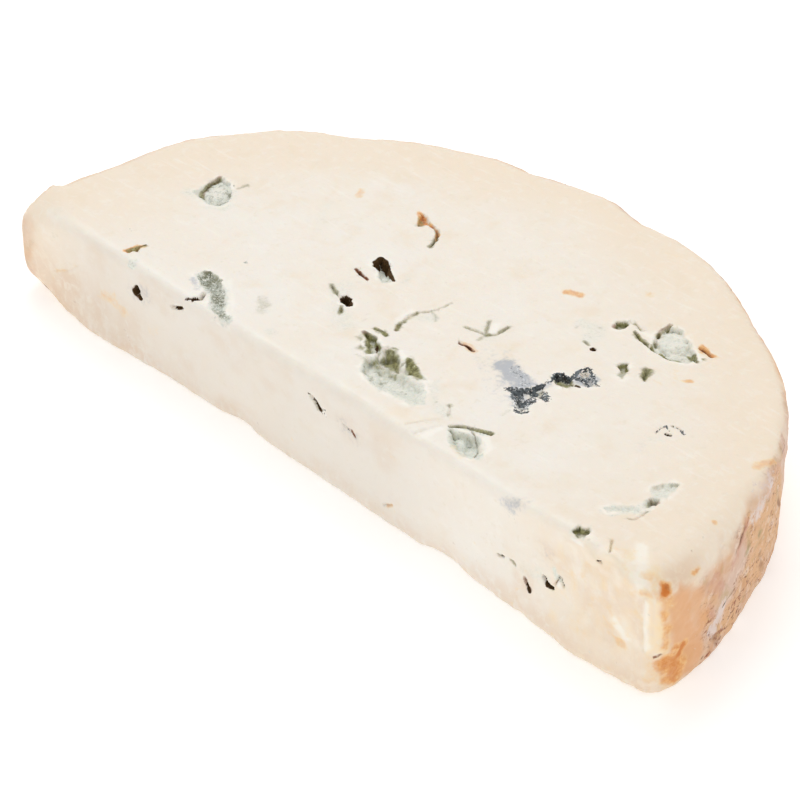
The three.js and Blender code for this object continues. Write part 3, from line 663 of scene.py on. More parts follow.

# %% strokes on the cut face
# The dark strokes fill the pits of the cut with dark brown: partly brown mould, partly painted shade.
cut_strokes = [
    ("dark", 1.0, [(-40.1, 12.9), (-39.6, 13.6)], 0.52, 0.3),
    ("dark", 1.0, [(-39.2, 12.6), (-39, 12.4)], 0.28, 0.3),
    ("rust", 0.6, (-39.8, 13.2), 0.9, 0.4),
    ("haze", 0.35, [(-40.5, 12.4), (-37.5, 13.6)], 1.0, 1.8),
    ("dark", 0.9, [(-30.8, 14.9), (-29.2, 15.6)], 0.22, 0.3),
    ("olive", 0.3, (-31.4, 18.2), 0.4, 1.0),
    ("amber", 0.5, [(-48, 8.2), (-45.4, 8.8), (-43, 7.8)], 0.7, 1.3),
    ("amber", 0.3, [(-37, 7.2), (-35, 9)], 0.5, 0.9),
    ("amber", 0.5, [(-59.6, 6.9), (-56, 8.9), (-53.9, 10.9)], 0.12, 0.6),
    ("ink", 0.45, (-44, 5.6), 0.25, 0.4),
    ("ink", 0.4, [(-43.6, 4.9), (-42.4, 4), (-41, 3)], 0.1, 0.35),
    ("rust", 0.8, [(-63.4, 1.8), (-62, 1.5)], 0.4, 0.6),
    ("rust", 0.3, [(-58, 0.8), (-52, 0.5)], 0.3, 1.2),
    ("dark", 0.8, [(-1.5, 15.1), (-0.6, 14.6)], 0.12, 0.3),
    ("dark", 1.0, [(-0.6, 14.6), (0, 14.2), (0.8, 13.5)], 0.38, 0.25),
    ("olive", 0.5, [(-0.2, 13.9), (0.4, 13.2)], 0.2, 0.4),
    ("ink", 0.5, [(1.6, 14.6), (1.9, 13.2)], 0.15, 0.4),
    ("white_curd_and_highlight", 0.9, (1.3, 15.1), 0.25, 0.4),
    ("rust", 0.85, [(7.6, 13.3), (8.3, 12.6)], 0.15, 0.35),
    ("ink", 0.42, [(5.7, 13.6), (7.3, 13.2)], 0.06, 0.3),
    ("dark", 0.85, [(36.9, 8.2), (38, 8.6)], 0.14, 0.25),
    ("olive", 0.6, [(39.4, 8.8), (40.2, 8.5)], 0.2, 0.4),
    ("dark", 1.0, [(42.7, 6.3), (43, 5.6)], 0.26, 0.3),
    ("rust", 0.6, [(42.2, 7), (42.9, 6)], 0.3, 0.5),
    ("amber", 0.35, [(41.8, 8.4), (42.2, 7)], 0.3, 0.7),
    ("dark", 1.0, [(45.7, 9.5), (46.2, 8.7), (47.2, 8.6)], 0.34, 0.3),
    ("veil", 0.75, [(47.6, 12.2), (48.2, 10.8)], 0.5, 0.8),
    ("dark", 0.7, [(47.7, 9.6), (48.5, 11.6), (49.2, 10.1)], 0.08, 0.3),
    ("white_curd_and_highlight", 0.9, (48.4, 10), 0.3, 0.4),
    ("amber", 0.3, [(42, 8.6), (45, 9.8)], 0.2, 0.6),
    ("dark", 0.8, [(55.2, 18.4), (55.8, 18.6)], 0.16, 0.3),
    ("haze", 0.2, (46, 13.4), 1.4, 3.0),
    ("haze", 0.5, [(38.6, 17.6), (40, 19)], 0.8, 1.6),
    ("ink", 0.55, (38.9, 17.6), 0.16, 0.5),
    ("ink", 0.4, [(39, 17.2), (39.6, 16.4)], 0.08, 0.4),
    ("haze", 0.3, [(5.4, 13.4), (8.6, 12.2)], 0.7, 1.6),
    ("olive", 0.3, [(-59.2, 13.8), (-60.6, 12)], 0.3, 1.3),
    ("olive", 0.3, (-62.1, 9.6), 0.3, 1.0),
    ("veil", 0.4, [(42, 8.6), (46, 9.6)], 0.8, 1.4),
    ("amber", 0.45, [(57, 9.4), (58, 8.6)], 0.5, 0.9),
    ("amber", 0.55, [(58.5, 7.4), (59.4, 6.9), (60.5, 6.9)], 0.5, 0.9),
    ("white_curd_and_highlight", 0.9, [(58.9, 10.2), (61, 8.6)], 0.5, 0.5),
    ("amber", 0.35, [(63.3, 17.2), (63.4, 12), (63.8, 8)], 0.1, 0.8),
    ("amber", 0.5, [(65, 7), (65.2, 3)], 0.5, 1.4),
    ("butter", 0.9, [(64.2, 16.4), (64.4, 12), (64.8, 8.6)], 0.5, 0.6),
    ("white_curd_and_highlight", 0.9, [(63.8, 16.2), (64, 12), (64.2, 8.6)], 0.3, 0.5),
    ("amber", 0.4, [(60.6, 18.4), (62, 17), (62.4, 14)], 0.5, 1.4),
    ("white_curd_and_highlight", 0.8, [(61.4, 19.4), (62.6, 18.2)], 0.5, 0.8),
    ("amber", 0.35, [(51, 5.6), (53, 5)], 0.8, 1.2),
    ("amber", 0.35, [(57.4, 2.6), (58.4, 2)], 0.4, 1.0),
    ("amber", 0.35, [(56.6, 12.4), (59.6, 11)], 0.8, 1.4),
    ("amber", 0.55, [(63, 17.5), (64.8, 17.9)], 0.3, 1.5),
    ("amber", 0.3, (52.5, 7), 1.6, 2.4),
    ("butter", 0.3, [(56, 17), (60, 18)], 1.0, 1.8),
    ("rust", 0.4, (59.8, 3.6), 0.3, 0.5),
    ("amber", 0.65, [(14.6, 3.8), (15.8, 4.5)], 0.3, 0.6),
    ("amber", 0.35, (32.3, 7.8), 0.3, 0.7),
    ("amber", 0.35, [(15.8, 13), (17, 13.5)], 0.3, 0.7),
]

# %% strokes on the rind: angle in degrees and height
rind_strokes = [
    ("amber", 1.0, (-4.9, 18.1), 0.6, 1.0),
    ("rust", 0.5, [(-4.8, 18.6), (-4.5, 17.8)], 0.2, 0.5),
    ("amber", 0.62, [(-6.6, 17.6), (-5.2, 17.2)], 0.6, 1.6),
    ("butter", 1.0, [(-6, 15.8), (-5.8, 12), (-5.4, 8.8)], 1.0, 0.5),
    ("amber", 0.74, [(-5.2, 14.4), (-4.9, 9.4)], 0.4, 1.6),
    ("amber", 0.42, [(-5.7, 14), (-5.6, 9.2)], 0.4, 1.4),
    ("peach", 0.85, [(-3.4, 15.4), (-2.4, 9), (-0.4, 4)], 1.8, 2.6),
    ("peach", 0.7, [(-1, 14.4), (0.6, 8.6)], 1.3, 2.2),
    ("amber", 0.4, [(-4, 15.4), (-3.4, 13)], 0.5, 1.2),
    ("amber", 0.95, [(-4, 8), (-2.6, 7.6), (-2.8, 6.2)], 0.6, 1.2),
    ("amber", 0.9, [(-4.4, 6), (-3.4, 4.6), (-4, 2.8)], 1.3, 2.0),
    ("rust", 0.45, (-4.6, 5.4), 0.15, 0.4),
    ("rust", 0.4, (-4.3, 4.4), 0.12, 0.4),
    ("amber", 0.7, [(-0.9, 18.5), (0.5, 18.5)], 0.15, 0.5),
    ("rust", 0.85, [(-6.3, 7.2), (-5.6, 7.5)], 0.16, 0.4),
    ("rust", 0.45, [(-5.6, 7.5), (-4.4, 8)], 0.1, 0.4),
    ("blush", 0.66, [(1.2, 14.2), (3.3, 14.4), (5, 12)], 1.0, 2.6),
    ("blush", 0.6, [(2.6, 10.4), (3.4, 8)], 0.6, 1.8),
    ("rust", 0.66, [(10.8, 17.2), (9.8, 16.1), (8.4, 15.1)], 0.4, 1.4),
    ("dark", 0.7, [(10.3, 16.8), (9.6, 16)], 0.16, 0.4),
    ("blush", 0.7, [(11.4, 17), (8, 13.6)], 1.0, 1.8),
    ("rust", 0.5, [(18.6, 19.6), (21, 17)], 0.3, 1.0),
    ("blush", 0.6, [(20, 19.6), (23, 18.4)], 0.8, 1.6),
    ("fuzz", 0.72, [(5.8, 7.6), (4.8, 6.6), (3.8, 5.4)], 1.1, 1.2),
    ("rust", 0.5, [(2.9, 6.6), (3, 4.6), (4.2, 3.8)], 0.2, 0.6),
    ("rust", 0.55, [(3, 5.6), (4.2, 3.4), (5, 2.2)], 0.5, 1.2),
    ("dark", 0.9, [(6, 7.7), (6.8, 7.8)], 0.16, 0.3),
    ("rust", 0.75, [(6.4, 7.7), (9, 8.3)], 0.18, 0.6),
    ("specks", 1.0, [(2, 10.4), (3, 6), (3.7, 3.2), (3, 1.2)], 1.0, 1.6),
    ("specks", 1.0, [(10, 5.4), (6, 1.8)], 1.4, 2.0),
    ("specks", 0.9, [(13, 8), (18, 4)], 2.0, 3.0),
    ("specks", 0.8, [(20, 19.6), (22, 16)], 1.2, 1.6),
    ("olive", 0.55, (12.5, 12.4), 0.6, 1.2),
    ("olive", 0.55, [(15.8, 12.4), (17, 11.8)], 0.4, 0.9),
    ("fuzz", 0.55, [(14, 16.4), (16.4, 17.4), (19.4, 18.6)], 1.2, 2.0),
    ("rust", 0.5, [(17, 8), (18.4, 3.6)], 0.5, 1.4),
    ("rust", 0.6, [(24, 11), (26.4, 8)], 0.5, 1.4),
    ("rust", 0.5, [(172, 12), (176, 13.6)], 0.6, 1.4),
    ("rust", 0.4, [(150, 6), (158, 4)], 0.6, 1.8),
    ("fuzz", 0.6, [(120, 9), (128, 7)], 1.0, 2.0),
    ("fuzz", 0.5, [(62, 12), (70, 10)], 1.0, 2.0),
    ("rust", 0.5, [(84, 8), (88, 14)], 0.6, 1.6),
]
print(len(top_strokes), "strokes on the top,", len(cut_strokes), "on the cut,", len(rind_strokes), "on the rind")

# %% [markdown]
# ## A skin to sculpt on
# The Remesh modifier in voxel mode wraps the drum in even squares, like clay pressed over a form.
# They are kept fairly large. A sculptor's skin needs small faces only where there is something to
# shape or paint, so there the edges are split at their middle, round after round, until each is
# short enough for its place.

# %% wrap the drum in even squares
skin_voxel = 0.8
sole_height = 0.4


def remesh(piece, voxel):
    modifier = piece.modifiers.new("skin", "REMESH")
    modifier.mode = "VOXEL"
    modifier.voxel_size = voxel
    graph = bpy.context.evaluated_depsgraph_get()
    wrapped = bpy.data.meshes.new_from_object(piece.evaluated_get(graph))
    piece.modifiers.clear()
    piece.data = wrapped


remesh(cheese, skin_voxel)
points = read_points(cheese)
normals = read_normals(cheese)
sole = (points[:, 2] < sole_height) & (normals[:, 2] < -0.9)
points[sole, 2] = 0
points[:, 2] = np.maximum(points[:, 2], 0)
write_points(cheese, points)
print("wrapped skin:", len(points), "points,", int(sole.sum()), "on the board")

# %% distances to lines and rims
def line_distance(points, line, closed=False):
    ends = line[1:] + line[:1] if closed else line[1:]
    best = np.full(len(points), 1e9)
    for start, end in zip(line, ends):
        start, span = np.array(start, float), np.subtract(end, start)
        along = np.clip(((points - start) @ span) / max(span @ span, 1e-9), 0, 1)
        best = np.minimum(best, np.linalg.norm(points - start - along[:, None] * span, axis=1))
    return best


def rim_distance(points, rim):
    """Distance to a closed rim, positive inside it."""
    inside = np.zeros(len(points), bool)
    for (x0, y0), (x1, y1) in zip(rim, rim[1:] + rim[:1]):
        crosses = (y0 > points[:, 1]) != (y1 > points[:, 1])
        where = x0 + (points[:, 1] - y0) * (x1 - x0) / ((y1 - y0) or 1e-9)
        inside ^= crosses & (points[:, 0] < where)
    return np.where(inside, 1, -1) * line_distance(points, rim, closed=True)


def close_to(points, line, margin):
    """Which places (n, 2) lie within the margin of a line's bounding box."""
    ends = np.array(line, float).reshape(-1, 2)
    return np.all((points > ends.min(0) - margin) & (points < ends.max(0) + margin), axis=1)


# %% how long an edge may be at a place
edge_lengths = {"top": 0.86, "cut": 0.86, "torn": 0.45, "rind": 0.45, "detail": 0.22}
detail_margin = 0.5
torn_from = 40.0


def reach_out(x, y):
    """Share of the way from the arc's centre to the rind."""
    side_reach = np.where(x < 0, left_reach, right_reach)
    return np.hypot(x / side_reach, (y - arc_centre_y) / arc_depth)


def mark_lines(marked, where, face, lines, margins):
    for line, margin in zip(lines, margins):
        near = np.flatnonzero(where & ~marked & close_to(face, line, margin))
        if len(near):
            marked[near] = line_distance(face[near], line) < margin


def wanted_lengths(places):
    x, y, z = places.T
    level = top_height(x, y)
    reach = reach_out(x, y)
    wanted = np.full(len(places), edge_lengths["top"])
    flank = (z > 0.1) & (z < level - 0.25)
    wanted[flank & (reach > 0.9) & (y > 1)] = edge_lengths["rind"]
    front = (y < 2) & (z < level - 0.1)
    wanted[front] = np.where(x[front] > torn_from, edge_lengths["torn"], edge_lengths["cut"])
    detail = np.zeros(len(places), bool)
    above = z > level - 5
    for rim, *_ in hollows.values():
        near = np.flatnonzero(above & close_to(places[:, :2], rim, detail_margin))
        if len(near):
            detail[near] |= rim_distance(places[near, :2], rim) > -detail_margin
    painted = [([stroke[2]] * 2 if isinstance(stroke[2][0], (int, float)) else stroke[2], stroke[3]) for stroke in top_strokes if stroke[1] > 0.5]
    top_lines = [line for line, *_ in slits.values()] + [line for line, _ in painted]
    top_margins = [half + detail_margin for _, half, _ in slits.values()] + [half + 0.3 for _, half in painted]
    mark_lines(detail, above & (y > -1), places[:, :2], top_lines, top_margins)
    pit_lines = [line for line, *_ in cut_pits.values()]
    mark_lines(detail, y < 3, places[:, [0, 2]], pit_lines, [half + detail_margin for _, half, _ in cut_pits.values()])
    wanted[detail] = edge_lengths["detail"]
    return wanted


# %% splitting the edges
def split_long_edges(bm, rounds, longest_share):
    for _ in range(rounds):
        ends = np.array([(*edge.verts[0].co, *edge.verts[1].co) for edge in bm.edges])
        lengths = np.linalg.norm(ends[:, 3:] - ends[:, :3], axis=1)
        long = lengths > longest_share * wanted_lengths((ends[:, 3:] + ends[:, :3]) / 2)
        if not long.any():
            break
        chosen = [edge for edge, is_long in zip(bm.edges, long) if is_long]
        bmesh.ops.subdivide_edges(bm, edges=chosen, cuts=1)
        bmesh.ops.triangulate(bm, faces=[face for face in bm.faces if len(face.verts) > 3])


def refine(piece, rounds, longest_share):
    bm = bmesh.new()
    bm.from_mesh(piece.data)
    bmesh.ops.triangulate(bm, faces=bm.faces)
    split_long_edges(bm, rounds, longest_share)
    bm.to_mesh(piece.data)
    bm.free()


refine(cheese, 4, 1.35)
print("first skin:", len(cheese.data.polygons), "triangles")

# %% [markdown]
# ## Pressing the hollows
# Every point of the top face is lowered by a depth worked out from the map, and every point of
# the cut face is pushed inwards at its pits. The walls of the hollows stretch the skin, so their
# long edges are split once more before the fine relief.

# %% depth of the top face's hollows
rim_noise_size = 1.6
front_right = np.array([0.72, -0.69])


def flat(points):
    return np.column_stack([points, np.zeros(len(points))])


def raggedness(points):
    """How far the noise moves a rim, in millimetres, at places (n, 2)."""
    return crumble(flat(points), rim_noise_size, 11, 3) * 0.26 + noise(flat(points), 0.55, 21) * 0.17


def hollow_depth(points):
    """Depth below the top face in millimetres at places (n, 2)."""
    ragged = raggedness(points)
    depth = np.zeros(len(points))
    for index, (rim, deep, bank, rise) in enumerate(hollows.values()):
        near = close_to(points, rim, 1)
        along = points[near] @ front_right
        ends = np.array(rim) @ front_right
        along = (along - ends.min()) / np.ptp(ends)
        inside = rim_distance(points[near], rim) + ragged[near]
        floor = deep * (1 - rise * np.clip(along, 0, 1)) * (1 + 0.16 * noise(flat(points[near]), 1.9, 40 + index))
        slope = bank * (0.6 + 1.6 * np.clip(along, 0, 1))
        depth[near] = np.maximum(depth[near], floor * smoothstep(0, 1, inside / slope))
    for line, half, deep in slits.values():
        near = close_to(points, line, 1)
        inside = half + ragged[near] * 0.35 - line_distance(points[near], line)
        depth[near] = np.maximum(depth[near], deep * smoothstep(-0.1, 1, inside / half))
    for x, y, long, wide, turn, below, tall in lumps:
        angle = math.radians(turn)
        turned = np.array([[math.cos(angle), -math.sin(angle)], [math.sin(angle), math.cos(angle)]])
        across = (points - (x, y)) @ turned
        reach = np.hypot(across[:, 0] / long, across[:, 1] / wide) + ragged * 0.5
        crown = below + tall * (1 - np.sqrt(np.clip(1 - reach ** 2, 0, 1)))
        depth = np.where(reach < 1, np.minimum(depth, crown), depth)
    return depth


def pit_depth(points):
    """Depth behind the cut face in millimetres at places (n, 2) of x and height."""
    ragged = crumble(flat(points), 0.9, 31, 2) * 0.2
    depth = np.zeros(len(points))
    for line, half, deep in cut_pits.values():
        near = close_to(points, line, 1)
        inside = half + ragged[near] * half - line_distance(points[near], line)
        depth[near] = np.maximum(depth[near], deep * smoothstep(-0.1, 0.8, inside / half))
    return depth


# %% press the skin in
def press(piece):
    points = read_points(piece)
    normals = read_normals(piece)
    upper = (normals[:, 2] > 0.05) & (points[:, 2] > 8)
    front = (normals[:, 1] < -0.3) & (points[:, 1] < 2)
    sink = np.zeros(len(points))
    sink[upper] = hollow_depth(points[upper, :2]) * smoothstep(0.05, 0.5, normals[upper, 2])
    push = np.zeros(len(points))
    push[front] = pit_depth(points[front][:, [0, 2]]) * smoothstep(-0.3, -0.8, normals[front, 1])
    points[:, 2] -= sink
    points[:, 1] += push
    write_points(piece, points)
    return sink.max(), push.max()


deepest = press(cheese)
refine(cheese, 2, 1.8)
print("deepest", np.round(deepest, 1), "mm; second skin:", len(cheese.data.polygons), "triangles")

# %% [markdown]
# ## Fine relief
# Three kinds of surface meet on the piece. The knife left the top and the cut face smooth, with
# faint drawn lines and, near the right end, upright strips where the paste tore. The rind dried
# in the cellar and is wrinkled and pitted. Inside the hollows the mould stands in small crumbs.
# Each is a height pushed along the surface's own direction, only where its mask is on.

# %% packed crumbs
def crumbs(places, size, seed):
    """Height from 0 to 1 of round crumbs packed side by side."""
    random = np.random.default_rng(seed)
    shuffle = random.permutation(lattice_size)
    middles = random.random((lattice_size, 3))
    scaled = places / size
    corner = np.floor(scaled).astype(int)
    nearest = np.full(len(places), 9.0)
    for step in np.ndindex(3, 3, 3):
        cell = corner + step - 1
        key = 0
        for axis in range(3):
            key = shuffle[(key + cell[:, axis]) % lattice_size]
        nearest = np.minimum(nearest, ((scaled - cell - middles[key]) ** 2).sum(1))
    return np.sqrt(np.clip(1 - nearest / 0.7, 0, 1))


# %% where each kind of surface is
points = read_points(cheese)
normals = read_normals(cheese)
x, y, z = points.T
level = top_height(x, y)
reach = reach_out(x, y)
upper = (z > level - 4.5) & ((z > level - 1.2) | (y > 1)) & (normals[:, 2] > -0.3) & (reach < 0.99)
front = (y < 2.6) & (z < level - 0.1) & (normals[:, 1] < 0.3)
below = level - z
in_hollow = np.zeros(len(points))
in_hollow[upper] = smoothstep(0.04, 0.4, hollow_depth(points[upper, :2]))
in_hollow *= (reach < 0.97)
in_pit = np.zeros(len(points))
in_pit[front] = smoothstep(0.1, 0.5, pit_depth(points[front][:, [0, 2]]))
wall = in_hollow * smoothstep(0.12, 0.6, 1 - normals[:, 2])
angle = np.degrees(np.arctan2(y - arc_centre_y, x))
angle = np.where(angle < -90, angle + 360, angle)
outward = np.column_stack([x / right_reach ** 2, (y - arc_centre_y) / arc_depth ** 2])
outward /= np.linalg.norm(outward, axis=1)[:, None]
facing_out = (normals[:, :2] * outward).sum(1)
on_flank = smoothstep(0.25, 0.75, facing_out) * smoothstep(0.6, 2.6, y) * (reach > 0.9)
on_cut = smoothstep(0.4, 0.9, -normals[:, 1]) * (1 - on_flank) * (y < 2)
print("flank", int((on_flank > 0.5).sum()), "cut", int((on_cut > 0.5).sum()), "hollows", int((in_hollow > 0.5).sum()))

# %% knife lines, torn strips, wrinkles and crumbs
drawn_top = points * (0.12, 1.6, 1)
drawn_cut = points * (1.5, 1, 0.1)
torn = smoothstep(36, 52, x)
big_crumbs = crumbs(points, 1.0, 61)
small_crumbs = crumbs(points, 0.5, 62)
# how low a place lies between the crumbs of a hollow, later painted darker as shade
crumb_gap_shade = in_hollow * (1 - 0.55 * big_crumbs - 0.45 * small_crumbs)
relief = in_hollow * (0.2 * big_crumbs + 0.14 * small_crumbs - 0.18)
relief += in_pit * (small_crumbs * 0.1 - 0.05)
relief += (1 - in_hollow) * (1 - on_flank) * (crumble(points, 6, 81, 2) * 0.05 + crumble(drawn_top, 2.2, 82, 2) * 0.02)
relief += on_cut * crumble(drawn_cut, 1.3, 83, 2) * 0.04
broken_edge = smoothstep(48, 56, x) * np.exp(-((y - 0.6) / 1.6) ** 2) * smoothstep(4, 1, level - z) * (y < 5)
relief += broken_edge * (crumble(points, 2.6, 86, 3) * 0.3 - 0.08)
relief += on_cut * smoothstep(2.2, 0.4, z) * crumble(points, 1.6, 88, 2) * 0.14
relief += on_cut * torn * (crumble(drawn_cut, 3.0, 85, 2) * 0.2 + crumble(points, 1.5, 87, 3) * 0.05)
relief += on_flank * (crumble(points * (1, 1, 1.6), 3.2, 91, 3) * 0.16 + crumble(points, 0.9, 95, 2) * 0.05)
relief *= smoothstep(0, 0.6, z)
points += normals * relief[:, None]
print("relief spans", relief.min().round(2), relief.max().round(2), "mm")

# %% [markdown]
# ## Painting
# Each colour is a mask: a number from 0 to 1 kept on the points of the mesh as an attribute. The
# material mixes its colours by these masks. Hollows are flooded first, paler on their floors and
# darker on their walls, the darkening partly painted shade, with a painted highlight round their
# rims, then the strokes of the map are drawn over them.

# %% masks and brushes
mask_names = ("veil", "olive", "moss", "ink", "haze", "dark", "amber", "butter", "rust", "fuzz", "white_curd_and_highlight", "blush", "specks", "peach", "cut_face_shade")
masks = {name: np.zeros(len(points)) for name in mask_names}
smear = crumble(points, 1.5, 101, 3)


def add_paint(name, where, amount):
    masks[name][where] = np.maximum(masks[name][where], amount)


def brush(face, where, name, amount, line, half, soft):
    line = [line, line] if isinstance(line[0], (int, float)) else line
    near = where & close_to(face, line, half + soft + 1)
    apart = line_distance(face[near], line) - smear[near] * min(0.5, half * 0.4 + soft * 0.25)
    add_paint(name, near, amount * (1 - smoothstep(half - soft * 0.3, half + soft, apart)))


def flood(rim, veil, olive, dark, halo):
    """Paint a hollow: a pale veil with a halo, olive on its walls, dark where it is deepest, and a painted highlight
    just outside its rim; the olive on the walls and the dark are partly painted shade.
    """
    near = upper & close_to(points[:, :2], rim, halo + 1)
    inside = rim_distance(points[near, :2], rim) + raggedness(points[near, :2])
    add_paint("veil", near, veil * smoothstep(-halo, 0.3, inside))
    # olive is heavier on steep walls: partly mould, partly painted shade
    add_paint("olive", near, olive * smoothstep(-0.2, 0.3, inside) * (0.55 + 0.45 * wall[near]))
    # dark brown over the hollow: partly mould, partly painted shade
    add_paint("dark", near, dark * smoothstep(-0.2, 0.15, inside))
    # painted highlight: a bright band just outside the rim
    add_paint("white_curd_and_highlight", near, (0.5 + 0.6 * smear[near]) * smoothstep(-0.8, -0.3, inside) * smoothstep(0.1, -0.2, inside))


# %% paint in the hollows: veil, olive, dark and halo
hollow_coats = {
    "left_end": (0.75, 0.1, 0.0, 0.7), "triangle": (0.8, 0.3, 0.0, 0.6), "small_dark": (0.4, 0.3, 1.0, 0.7),
    "green_back": (0.7, 0.9, 0.0, 0.8), "green_deep": (0.7, 0.75, 0.0, 0.7), "green_slope": (0.75, 0.35, 0.0, 0.8),
    "by_the_cut": (0.85, 0.38, 0.0, 0.6), "dark_blue_low": (0.3, 0.0, 0.0, 0.8), "dark_blue_high": (0.3, 0.0, 0.0, 0.8),
    "dark_blue_olive": (0.5, 0.9, 0.0, 0.5), "back_olive": (0.5, 1.0, 0.0, 0.7), "back_lump": (0.7, 0.25, 0.0, 0.6),
    "back_blob": (0.5, 1.0, 0.0, 0.8), "right_dark": (0.5, 0.6, 0.0, 0.5), "right_pale": (0.6, 0.1, 0.0, 0.5),
    "right_low": (0.7, 0.2, 0.0, 0.5), "right_edge": (0.6, 0.9, 0.0, 0.7), "rough_patch": (0.7, 0.0, 0.0, 0.9),
}
for name, coat in hollow_coats.items():
    flood(hollows[name][0], *coat)

# %% paint the strokes on the three faces
arc_mm = math.radians(1) * right_reach


def unroll(line):
    """A line of angle and height on the rind, in millimetres."""
    if isinstance(line[0], (int, float)):
        return (line[0] * arc_mm, line[1])
    return [(turn * arc_mm, height) for turn, height in line]


unrolled = np.column_stack([angle * arc_mm, z])
for name, amount, line, half, soft in top_strokes:
    brush(points[:, :2], upper, name, amount, line, half, soft)
for name, amount, line, half, soft in cut_strokes:
    brush(points[:, [0, 2]], front, name, amount, line, half, soft)
for name, amount, line, half, soft in rind_strokes:
    brush(unrolled, on_flank > 0.02, name, amount, unroll(line), half, soft)

# %% patches where the paste tore, then white curd and painted highlights wipe the mould
strewn = np.random.default_rng(5)
torn_count = 60
for _ in range(torn_count):
    middle = strewn.uniform((47, 4), (63, 19.5))
    span = strewn.uniform(0.3, 1.3) * np.array([strewn.uniform(-0.4, 0.4), 1])
    name = ("amber", "butter", "white_curd_and_highlight", "butter")[strewn.integers(4)]
    brush(points[:, [0, 2]], front, name, strewn.uniform(0.2, 0.5), [tuple(middle - span), tuple(middle + span)], 0.3, strewn.uniform(0.8, 1.8))

wiped = 1 - 0.9 * np.clip(masks["white_curd_and_highlight"], 0, 1)
for name in ("veil", "olive", "moss", "dark"):
    masks[name] *= wiped

# %% specks strewn over the top face, flecks along the foot of the cut
speck_count = 90
fleck_count = 80
for _ in range(speck_count):
    middle = strewn.uniform((-60, 2), (60, 60))
    heading = strewn.uniform(0, math.pi)
    span = strewn.uniform(0.1, 0.7) * np.array([math.cos(heading), math.sin(heading)])
    name = ("olive", "rust", "veil", "amber", "ink")[strewn.integers(5)]
    amount = strewn.uniform(0.12, 0.4)
    brush(points[:, :2], upper, name, amount, [tuple(middle - span), tuple(middle + span)], 0.12, strewn.uniform(0.3, 0.8))
for _ in range(fleck_count):
    middle = np.array([strewn.uniform(-66, 62), 0.4 + 5 * strewn.random() ** 1.6])
    span = np.array([strewn.uniform(-0.4, 0.4), strewn.uniform(0, 0.3)])
    name = ("amber", "rust", "amber")[strewn.integers(3)]
    brush(points[:, [0, 2]], front, name, strewn.uniform(0.25, 0.5), [tuple(middle - span), tuple(middle + span)], 0.1, strewn.uniform(0.3, 0.6))

# %% rind, warmth towards it, painted shade between crumbs and on the cut, a painted highlight on the ridge
rind_top = 16.4 + 0.19 * np.clip(angle, 0, 20)
rind_low = smoothstep(-1.2, 1.6, rind_top + crumble(points, 2.4, 111, 2) * 0.8 - z)
masks["rind"] = on_flank * rind_low * smoothstep(3.0, 11.0, y + crumble(points, 3, 115, 2) * 2)
left_rind = smoothstep(-2.0, 2.0, -x - 65.5 + crumble(points, 2.4, 113, 2)) * smoothstep(0.6, 0.2, normals[:, 2])
masks["rind"] = np.maximum(masks["rind"], left_rind * 0.6)
masks["warm"] = smoothstep(0.55, 1.0, reach + crumble(points, 9, 121, 2) * 0.06)
masks["crumb_gap_shade"] = crumb_gap_shade
# painted highlight: a pale band along the top edge of the cut face
ridge_highlight = np.exp(-((y - 0.9) / 0.9) ** 2) * smoothstep(-2.2, -0.6, z - level) * (normals[:, 2] > 0.2)
masks["white_curd_and_highlight"] = np.maximum(masks["white_curd_and_highlight"], ridge_highlight * (0.6 + 0.3 * smear) * (1 - in_hollow))
low_left = smoothstep(-20, -62, x) * smoothstep(13, 5, z) * on_cut
foot = on_cut * smoothstep(5, 0.5, z + crumble(points, 3, 133, 2) * 1.5)
corner = on_flank * smoothstep(13, 5, y)
masks["tan"] = low_left * 0.55 + foot * 0.45 + corner * 0.7 + on_cut * smoothstep(0.1, 0.9, crumble(points, 7, 131, 3)) * 0.35
# painted shade: the cut face darker and greyer from the left end to the middle
masks["cut_face_shade"] = on_cut * smoothstep(34, 10, x) * smoothstep(-68, -46, x) * 0.5
for name, values in masks.items():
    layer = cheese.data.attributes.new(name, "FLOAT", "POINT")
    layer.data.foreach_set("value", np.clip(values, 0, 1).astype(np.float32))
print("painted:", {name: int((values > 0.5).sum()) for name, values in masks.items()})

# %% [markdown]
# ## Shader sums
# A material is a net of nodes. Writing sums as Python expressions keeps it readable: this small
# class stands for one output, and each operator on it adds a Math node.

# %% wires
class Wire:
    """One output socket: + - * / on it add Math nodes."""

    def __init__(self, socket):
        self.socket = socket

    def sum(self, operation, first, second):
        tree = self.socket.id_data
        node = tree.nodes.new("ShaderNodeMath")
        node.operation = operation
        for slot, value in zip(node.inputs, (first, second)):
            plug(tree, slot, value)
        return Wire(node.outputs[0])

    def __add__(self, other):
        return self.sum("ADD", self, other)

    def __radd__(self, other):
        return self.sum("ADD", other, self)

    def __sub__(self, other):
        return self.sum("SUBTRACT", self, other)

    def __rsub__(self, other):
        return self.sum("SUBTRACT", other, self)

    def __mul__(self, other):
        return self.sum("MULTIPLY", self, other)

    def __rmul__(self, other):
        return self.sum("MULTIPLY", other, self)


def plug(tree, slot, value):
    if isinstance(value, Wire):
        tree.links.new(value.socket, slot)
    else:
        slot.default_value = value


